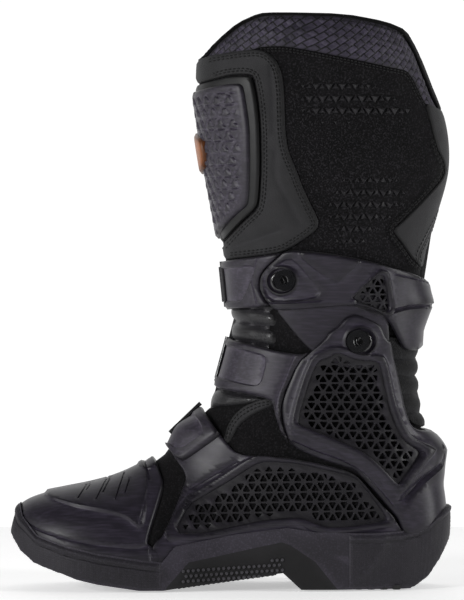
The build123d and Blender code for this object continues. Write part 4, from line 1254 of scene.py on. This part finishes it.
panel("shin_armour", plate_outline, 2.4, 5.2, MATS["polymer_grey"], "shin_door", "polymer_grey",
      ("shin_plate",), side="f", grid=0.95, rings=(0.5, 1.2, 2.2), features=[("edge", 2.2, 2.0)],
      lift=armour_relief, charted=True, sharp=70)
ACCENT = [(-60, 327), (-20, 326), (-14, 322), (-12, 312), (-12.5, 300), (-17, 294), (-60, 293)]
panel("shin_badge", seamed(ACCENT, ("front",)), 4.6, 9.2, MATS["accent_orange"], "shin_door",
      "accent_orange", ("shin_accent",), side="f", grid=2.4, features=[("edge", 2.4, 1.8)],
      charted=True)
TAB = [(14, 296), (46, 292), (49, 300), (47, 322), (40, 326), (12, 322)]
panel("closure_patch", to_chart(TAB), 2.5, 4.4, MATS["textile_black"], "shin_door",
      "textile_black", ("closure_tab",), features=[("edge", 1.2, 0.8)], side="l", grid=2.6,
      charted=True)

# ------------------------------------------------------------------ bellows
def ribs(levels, depth, width):
    """Padded ribs: full between grooves that run round the boot at given heights."""
    def lift(v):
        t, a = unchart(v)
        p = surface(t, a)
        height = p[:, 2] + 0.16 * p[:, 0]
        far = np.min([np.abs(height - level) for level in levels], axis=0)
        return -depth * (1 - np.sqrt(np.clip(1 - (1 - np.clip(far / width, 0, 1)) ** 2, 0, 1)))
    return lift


FRONT_SOFT = [(-80, 204.5), (30, 204.5), (32, 198), (33, 190), (33, 178), (31, 160),
              (29, 146), (28, 134.5), (0, 130), (-12, 128.4), (-80, 113)]
front = panel("front_bellows_pad", seamed(FRONT_SOFT, ("front",)), -4.0, 1.6,
              MATS["leather_perforated"], None, "leather_perforated", ("front_bellows",), side="f",
              grid=2.0, rings=(0.8, 2.0), features=[("edge", 3.5, 3.2)], charted=True,
              lift=ribs((202.5, 190.5, 177.0, 141.0, 126.0), 5.0, 6.4), blend=ANKLE)
SIDE_SOFT = [(28, 205), (60, 196), (75, 188), (90, 182.5), (112, 180), (112, 160), (105, 167),
             (90, 168.6), (75, 166.6), (30, 138.6), (26, 137), (27, 170)]
panel("ankle_gusset_cloth", to_chart(SIDE_SOFT), -4.0, 0.1, MATS["textile_black"], None,
      "textile_black", ("ankle_gusset",), side="b", grid=3.0, rings=(1.5,), charted=True,
      blend=ANKLE)
REAR_SOFT = [(110, 180), (120, 178.5), (175, 168.5), (175, 106.5), (142, 112), (124, 119),
             (116, 140), (108, 160)]


def rear_ribs(v):
    t, a = unchart(v)
    z = surface(t, a)[:, 2]
    return 3.0 * np.abs(np.sin((z - 112) * math.pi / 13.0)) ** 0.6 - 1.4


rear = panel("rear_bellows_pad", seamed(REAR_SOFT, ("back",)), -4.0, 1.2, MATS["ribbed_black"], None,
             "textile_black", ("rear_bellows",), side="k", grid=2.6, rings=(1.0,), charted=True,
             lift=rear_ribs, blend=ANKLE)

# curved double seam band at the foot of the front bellows
SEAM_BAND = [(-9, 104), (-5, 106), (-2, 116), (3, 124), (10, 130), (20, 134.4), (29, 136), (31, 131),
             (25, 129), (15, 124), (6, 117), (1, 107), (-2, 103)]
panel("seam_band", to_chart(SEAM_BAND), 0.0, 1.4, MATS["leather_grey"], "foot", "leather_grey",
      features=[("edge", 1.0, 0.7)], side="m", grid=2.4, charted=True)
SEAM_ROWS = [[(-3.6, 106), (-0.5, 115.5), (4.4, 122.6), (11, 128), (20, 132), (29, 133.6)],
             [(-1.6, 105.5), (1.4, 114.6), (6, 121), (12.4, 126), (21, 130), (29, 131.8)]]
stitches("seam_band_stitches", SEAM_ROWS, MATS["thread"], "foot", "leather_grey", 1.35)

# ------------------------------------------------------------------ sole skin and tread
def node_tree(name):
    """Ray-cast tree of a CAD node."""
    return BVHTree.FromPolygons([v.co for v in frame["nodes"][name].data.vertices],
                                [p.vertices for p in frame["nodes"][name].data.polygons])


def wall_points(tree, stations, count, margin):
    """Rows of wall points and normals (mm) hit by level rays from outside, one row per station."""
    rows = []
    for origin, direction in stations:
        hits = []
        for z in np.arange(-1.0, 68.0, 0.5):
            hit, normal, _, far = tree.ray_cast(Vector((origin[0], origin[1], z)) * MM,
                                                Vector((direction[0], direction[1], 0)))
            if hit is not None:
                hits.append((z, far / MM, hit / MM, normal))
        nearest = min(h[1] for h in hits)
        ok = [h for h in hits if h[1] < nearest + 13]
        run = [ok[0]]
        best = run
        for h in ok[1:]:
            if h[0] - run[-1][0] > 0.6:
                run = []
            run.append(h)
            if len(run) > len(best):
                best = run
        z0, z1 = best[0][0] + margin, best[-1][0] - margin
        row = []
        for z in np.linspace(z0, z1, count):
            hit, normal, *_ = tree.ray_cast(Vector((origin[0], origin[1], z)) * MM,
                                            Vector((direction[0], direction[1], 0)))
            row.append((np.array(hit) / MM, np.array(normal)))
        rows.append(row)
    return rows


def stadium(x_centre, x_end, radius, step):
    """Rays towards the sole from a half stadium round one end, from the inner to the outer side."""
    toe = x_end > x_centre
    stations = []
    straight = np.arange(x_end, x_centre, -step) if toe else np.arange(x_end, x_centre, step)
    for x in straight:
        stations.append(((x, MID_Y - radius), (0.0, 1.0)))
    turns = int(math.pi * 56 / step)
    for k in range(turns + 1):
        a = -math.pi / 2 + math.pi * k / turns
        c, s = math.cos(a) * (-1 if toe else 1), math.sin(a)
        stations.append(((x_centre + radius * c, MID_Y + radius * s), (-c, -s)))
    for x in straight[::-1]:
        stations.append(((x, MID_Y + radius), (0.0, -1.0)))
    return stations


def skin(name, rows, relief, material, body, thick=0.9):
    """Closed skin lying on wall rows; relief(arc, height share, point) adds to its thickness."""
    n, m = len(rows), len(rows[0])
    p = np.array([[q[0] for q in row] for row in rows])
    d = np.array([[q[1] for q in row] for row in rows])
    for _ in range(2):
        d[1:-1] = d[1:-1] * 0.5 + (d[:-2] + d[2:]) * 0.25
    d /= np.linalg.norm(d, axis=2, keepdims=True)
    arc = np.r_[0, np.cumsum(np.linalg.norm(np.diff(p[:, m // 2], axis=0), axis=1))]
    share = np.linspace(0, 1, m)
    height = np.linalg.norm(p[:, -1] - p[:, 0], axis=1)
    u, v = np.meshgrid(arc, share, indexing="ij")
    rise = thick + relief(u, v * height[:, None], p, height[:, None])
    edge = np.minimum(np.minimum(u, arc[-1] - u) * 0.3, np.minimum(v, 1 - v) * height[:, None])
    rise = rise * np.sqrt(np.clip(1 - (1 - np.clip(edge / 1.6, 0, 1)) ** 2, 0.02, 1))
    top = (p + d * rise[..., None]).reshape(-1, 3)
    low = (p - d * 0.4).reshape(-1, 3)
    index = np.arange(n * m).reshape(n, m)
    quads = np.stack([index[:-1, :-1], index[1:, :-1], index[1:, 1:], index[:-1, 1:]], -1)
    quads = quads.reshape(-1, 4)
    rim = np.concatenate([index[:, 0], index[-1, 1:], index[-2::-1, -1], index[0, -2:0:-1]])
    size = n * m
    faces = [tuple(q) for q in quads] + [tuple(size + i for i in q[::-1]) for q in quads]
    faces += [(a, a + size, b + size, b) for a, b in zip(rim, np.roll(rim, -1))]
    uv = np.stack([u.ravel(), (v * height[:, None]).ravel()], 1)
    verts = np.vstack([top, low])
    first = np.array([verts[i] for i in faces[0]])
    normal = np.cross(first[1] - first[0], first[2] - first[0])
    if normal @ d[0, 0] < 0:
        faces = [f[::-1] for f in faces]
    return put(name, verts, faces, material, body, uv=np.vstack([uv, uv]), sharp=45)


def sole_relief(u, v, p, height):
    """Fine diamond knurl on the wall, a smooth bead along its upper edge."""
    bead = smooth(1 - np.abs(height - v - 2.6) / 2.2) * 0.7
    gap = -0.5 * smooth(1 - np.abs(height - v - 5.6) / 0.9)
    field = smooth((height - v - 6.8) / 2.0) * smooth(v / 4.0)
    knurl = np.sin((u + v * 0.9) * 2.0) * np.sin((u - v * 0.9) * 2.0)
    return bead + gap + 0.22 * field * np.clip(knurl, -0.4, 1)


outsole_tree = node_tree("outsole")
toe_rows = wall_points(outsole_tree, stadium(-104, -50, 95, 1.15), 46, 1.0)
skin("sole_wall_toe", toe_rows, sole_relief, MATS["sole_rubber"], "foot")
heel_rows = wall_points(outsole_tree, stadium(108, 84, 95, 1.15), 46, 1.0)


def heel_relief(u, v, p, height):
    """The heel wall stands out at the back, most under its upper edge."""
    back = smooth((p[..., 0] - 132) / 20) * np.interp(p[..., 2], (20, 40, 56, 64), (0.5, 3.5, 5.5, 2.5))
    return sole_relief(u, v, p, height) + back


skin("sole_wall_heel", heel_rows, heel_relief, MATS["sole_rubber"], "foot")


def under(tree, x, y):
    """Height and normal of the underside above a ground point."""
    hit, normal, *_ = tree.ray_cast(Vector((x, y, -30)) * MM, Vector((0, 0, 1)))
    return (None, None) if hit is None else (np.array(hit) / MM, np.array(normal))


def block(build, base, normal, outline_xy, height, shrink=0.8):
    """Tapered tread block standing on a surface point."""
    n = normal / np.linalg.norm(normal)
    side = np.cross(n, (0.0, 1.0, 0.0))
    side /= np.linalg.norm(side)
    other = np.cross(n, side)
    rings = []
    levels = ((1.0, -1.2), (1.0, height * 0.45), (shrink + 0.08, height * 0.85), (shrink * 0.86, height))
    for k, h in levels:
        rings.append([base + (side * a + other * b) * k + n * h for a, b in outline_xy])
    m = len(outline_xy)
    verts = np.vstack(rings)
    faces = [tuple(range(m))[::-1], tuple(range(3 * m, 4 * m))]
    faces += [(j * m + i, j * m + (i + 1) % m, (j + 1) * m + (i + 1) % m, (j + 1) * m + i)
              for j in range(3) for i in range(m)]
    first = verts[list(faces[0])]
    if np.cross(first[1] - first[0], first[2] - first[0]) @ n > 0:
        faces = [f[::-1] for f in faces]
    build.add(verts, faces)


def disc(radius, count=8, turn=0.0):
    return [(radius * math.cos(turn + k * 2 * math.pi / count),
             radius * math.sin(turn + k * 2 * math.pi / count)) for k in range(count)]


insert_tree = node_tree("waist_insert")
studs_under = Build()
for x in np.arange(-37, 30, 3.5):
    for j, y in enumerate(np.arange(-42, 42, 3.5)):
        where, normal = under(insert_tree, x + (j % 2) * 1.75, y)
        if where is not None and normal[2] < -0.5 and where[2] < 13.5:
            block(studs_under, where, normal, disc(1.15), 1.5)
for x in np.arange(-34, 36, 3.6):
    for s in (-1, 1):
        for k, z in enumerate(np.arange(6.5 + (x + 35) * 0.06, 15.5 + (x + 35) * 0.09, 3.6)):
            hit, normal, *_ = insert_tree.ray_cast(Vector((x + (k % 2) * 2.05, s * 95, z)) * MM,
                                                   Vector((0, -s, 0)))
            if hit is not None:
                block(studs_under, np.array(hit) / MM, np.array(normal), disc(1.15), 1.3)
# the studs wear the paler copy of the insert rubber: painted highlight
studs_under.put("insert_studs", MATS["stud_rubber_painted_highlight"], "foot", "insert_rubber", sharp=30)

TREAD_PITCH = 9.0
TREAD_AREAS = ((-132, -52, -45, 46), (82, 132, -36, 37))     # first and last X, first and last Y
CORNERS = ((5, 0), (-5, 0), (0, 5), (0, -5))
tread = Build()
for x_first, x_last, y_first, y_last in TREAD_AREAS:
    for x in np.arange(x_first, x_last, TREAD_PITCH):
        for j, y in enumerate(np.arange(y_first, y_last, TREAD_PITCH)):
            at_x, at_y = x + (j % 2) * TREAD_PITCH / 2, y + MID_Y
            where, normal = under(outsole_tree, at_x, at_y)
            whole = all(under(outsole_tree, at_x + a, at_y + b)[0] is not None for a, b in CORNERS)
            if where is not None and whole and normal[2] < -0.6:
                block(tread, where + normal * -1.4, normal, disc(3.6, 6, 0.5), 1.9)
tread.put("tread_blocks", MATS["sole_rubber"], "foot", "sole_rubber", sharp=30)

# ------------------------------------------------------------------ strap bands with ladder teeth
# along the strap and away from it, mm
BAR_PROFILE = ((-0.95, -0.5), (-0.8, 0.75), (-0.35, 1.05), (0.35, 1.05), (0.8, 0.75), (0.95, -0.5))


def strap_teeth(name, node, body, start, end, width, count):
    """Cross bars of a ladder strap on the outer side, laid on the CAD strap."""
    tree = node_tree(node)
    out = Build()
    start, end = np.array(start, float), np.array(end, float)
    run = (end - start) / np.linalg.norm(end - start)
    across_way = np.array([-run[1], run[0]])
    for k in range(count):
        mid = start + (end - start) * (k + 0.5) / count
        bar = []
        for w in np.linspace(-width / 2, width / 2, 7):
            for r, h in BAR_PROFILE:
                spot = mid + across_way * w + run * r
                hit, normal, *_ = tree.ray_cast(Vector((spot[0], 120, spot[1])) * MM, Vector((0, -1, 0)))
                if hit is None:
                    bar = None
                    break
                bar.append(np.array(hit) / MM + np.array(normal) * h)
            if bar is None:
                break
        if bar is None:
            continue
        faces = [(6 * j + i, 6 * j + (i + 1) % 6, 6 * j + 6 + (i + 1) % 6, 6 * j + 6 + i)
                 for j in range(6) for i in range(6)]
        faces += [tuple(range(6))[::-1], tuple(range(36, 42))]
        verts = np.array(bar)
        centre = verts.mean(0)
        f = verts[list(faces[2])]
        if np.cross(f[1] - f[0], f[2] - f[0]) @ (f.mean(0) - centre) < 0:
            faces = [q[::-1] for q in faces]
        out.add(verts, faces)
    if out.count:
        out.put(name, MATS["strap_polymer"], body, "strap_polymer", sharp=30)


strap_teeth("top_strap_teeth", "top_strap", "top_strap_body", (2, 217.4), (12, 217.8), 18, 3)
strap_teeth("ankle_strap_teeth", "ankle_strap", "ankle_strap_body", (2, 160), (14, 158.6), 17, 3)

# ------------------------------------------------------------------ inside: footbed
bed = Build()
bed_tree = node_tree("footbed")
BED_PITCH, BED_THICK = 4.0, 2.2
grid_points = {}
for x in np.arange(-150, 150, BED_PITCH):
    for y in np.arange(-48, 49, BED_PITCH):
        hit, normal, *_ = bed_tree.ray_cast(Vector((x, y + MID_Y, 90)) * MM, Vector((0, 0, -1)))
        if hit is not None and normal[2] > 0.5:
            grid_points[(x, y)] = np.array(hit) / MM
verts, index = [], {}
for (x, y), p in grid_points.items():
    index[(x, y)] = len(verts)
    cup = 0.9 * smooth((abs(y) - 14) / 20) - 0.4
    verts.append(p + np.array([0, 0, cup]))
count = len(verts)
verts += [v - np.array([0, 0, BED_THICK]) for v in verts]
squares = []
for (x, y), i in index.items():
    square = [(x, y), (x + BED_PITCH, y), (x + BED_PITCH, y + BED_PITCH), (x, y + BED_PITCH)]
    if all(k in index for k in square):
        squares.append(tuple(index[k] for k in square))
edges_seen = {}
for q in squares:
    for a, b in zip(q, q[1:] + q[:1]):
        edges_seen[(a, b)] = True
faces = squares + [tuple(count + i for i in q[::-1]) for q in squares]
faces += [(b, a, a + count, b + count) for a, b in edges_seen if (b, a) not in edges_seen]
used = sorted({i for f in faces for i in f})
remap = {i: k for k, i in enumerate(used)}
bed.add(np.array(verts)[used], [tuple(remap[i] for i in f) for f in faces])
bed.put("footbed_top", MATS["footbed_foam"], "foot", "footbed_foam", ("footbed",), sharp=60)

# ------------------------------------------------------------------ bolts
def bolt_head(name, centre, d, radius, body, side=1):
    """Domed socket-head screw with a raised rim, a six-sided socket and a washer."""
    t, a = locate([centre])
    base = surface(t, a * side, d)[0]
    out_way = surface(t, a * side, d + 1.0)[0] - base
    n = out_way / np.linalg.norm(out_way)
    n = np.array([n[0] * 0.3, n[1], n[2] * 0.3])
    n /= np.linalg.norm(n)
    u = np.cross(n, (0.0, 0.0, 1.0))
    u /= np.linalg.norm(u)
    w = np.cross(n, u)
    profile = [(1.0, -1.6), (1.0, 0.6), (0.97, 1.3), (0.90, 1.8), (0.80, 2.05), (0.70, 1.9),
               (0.62, 1.45), (0.58, 0.9), (0.55, 0.8), (0.52, 1.1), (0.46, 1.5), (0.40, 1.65),
               (0.34, 1.6)]
    count = 48
    verts = []
    for r, h in profile:
        verts += [base + (u * math.cos(k * 2 * math.pi / count) + w * math.sin(k * 2 * math.pi / count))
                  * r * radius + n * h for k in range(count)]
    for r_share, h in ((0.29, 1.5), (0.27, 0.2)):
        for k in range(count):
            angle = k * 2 * math.pi / count
            hexagon = math.cos(math.pi / 6) / math.cos((angle % (math.pi / 3)) - math.pi / 6)
            verts.append(base + (u * math.cos(angle) + w * math.sin(angle)) * r_share * hexagon * radius
                         + n * h)
    layers = len(profile) + 2
    faces = [(j * count + i, j * count + (i + 1) % count, (j + 1) * count + (i + 1) % count,
              (j + 1) * count + i) for j in range(layers - 1) for i in range(count)]
    faces += [tuple(range(count))[::-1], tuple(range((layers - 1) * count, layers * count))]
    verts = np.array(verts)
    f = verts[list(faces[count * 3])]
    if np.cross(f[1] - f[0], f[2] - f[0]) @ n < 0:
        faces = [q[::-1] for q in faces]
    build = Build()
    build.add(verts, faces)
    build.put(name, MATS["bolt_black"], body, "bolt_black", sharp=32)


bolt_head("medial_ankle_bolt_head", PIVOT, 6.3, 7.9, "foot")
bolt_head("lateral_ankle_bolt_head", PIVOT, 6.3, 7.9, "foot", -1)
bolt_head("top_strap_bolt_head", FRAME_BOLT, 6.4, 7.4, "cuff")

# ------------------------------------------------------------------ floor, light, camera
floor_mat, _, floor_shader = nodes_of("floor_pale")
floor_shader.inputs["Base Color"].default_value = (0.93, 0.93, 0.93, 1)
floor_shader.inputs["Roughness"].default_value = 0.9
floor_shader.inputs["Emission Color"].default_value = (1, 1, 1, 1)
floor_shader.inputs["Emission Strength"].default_value = 0.45
floor_mesh = bpy.data.meshes.new("floor")
floor_mesh.from_pydata([(-3, -1.4, 0), (3, -1.4, 0), (3, 0.6, 0), (-3, 0.6, 0)], [], [(0, 1, 2, 3)])
floor_mesh.materials.append(floor_mat)
floor = bpy.data.objects.new("floor", floor_mesh)
bpy.context.scene.collection.objects.link(floor)
floor.location.z = -0.0012

# the studio is bright behind the boot and dim in front of it
world = bpy.data.worlds.new("studio")
world.use_nodes = True
world_new, world_link = world.node_tree.nodes.new, world.node_tree.links.new
direction = world_new("ShaderNodeTexCoord")
split_direction = world_new("ShaderNodeSeparateXYZ")
world_link(direction.outputs["Generated"], split_direction.inputs[0])
brightness = world_new("ShaderNodeMapRange")
brightness.interpolation_type = "SMOOTHSTEP"
brightness.inputs["From Min"].default_value = 0.15
brightness.inputs["From Max"].default_value = 0.75
brightness.inputs["To Min"].default_value = 0.03
brightness.inputs["To Max"].default_value = 1.05
world_link(split_direction.outputs[1], brightness.inputs["Value"])
background = world.node_tree.nodes["Background"]
background.inputs[0].default_value = (1.0, 1.0, 1.0, 1)
world_link(brightness.outputs[0], background.inputs[1])
bpy.context.scene.world = world


MID_BOOT = (0, 0, 0.2)


def area_light(name, location, size, energy):
    """Soft light aimed at the middle of the boot."""
    data = bpy.data.lights.new(name, "AREA")
    data.shape = "RECTANGLE"
    data.size, data.size_y = size
    data.energy = energy
    obj = bpy.data.objects.new(name, data)
    bpy.context.scene.collection.objects.link(obj)
    obj.location = location
    obj.rotation_euler = (Vector(MID_BOOT) - Vector(location)).to_track_quat("-Z", "Y").to_euler()


area_light("key", (-1.4, -1.6, 0.6), (0.35, 0.7), 27)
area_light("front", (-1.5, -0.35, 0.45), (0.4, 0.8), 4)
area_light("side", (1.7, -0.55, 0.5), (0.25, 0.9), 15)
area_light("top", (0.1, 0.1, 1.7), (1.2, 1.0), 1.5)

VIEW_HEIGHT = 0.426     # height of the picture at the boot
CAMERA_AWAY = 3.0
SENSOR = 24
camera_data = bpy.data.cameras.new("camera")
camera_data.sensor_fit = "VERTICAL"
camera_data.sensor_height = SENSOR
camera_data.lens = SENSOR * CAMERA_AWAY / VIEW_HEIGHT
camera = bpy.data.objects.new("camera", camera_data)
bpy.context.scene.collection.objects.link(camera)
tilt = math.radians(1.0)
aim = Vector((0.0007, -0.05, 0.2063))
camera.location = aim + CAMERA_AWAY * Vector((0, -math.cos(tilt), math.sin(tilt)))
camera.rotation_euler = (math.pi / 2 - tilt, 0, 0)
bpy.context.scene.camera = camera
bpy.context.scene.view_settings.view_transform = "Standard"
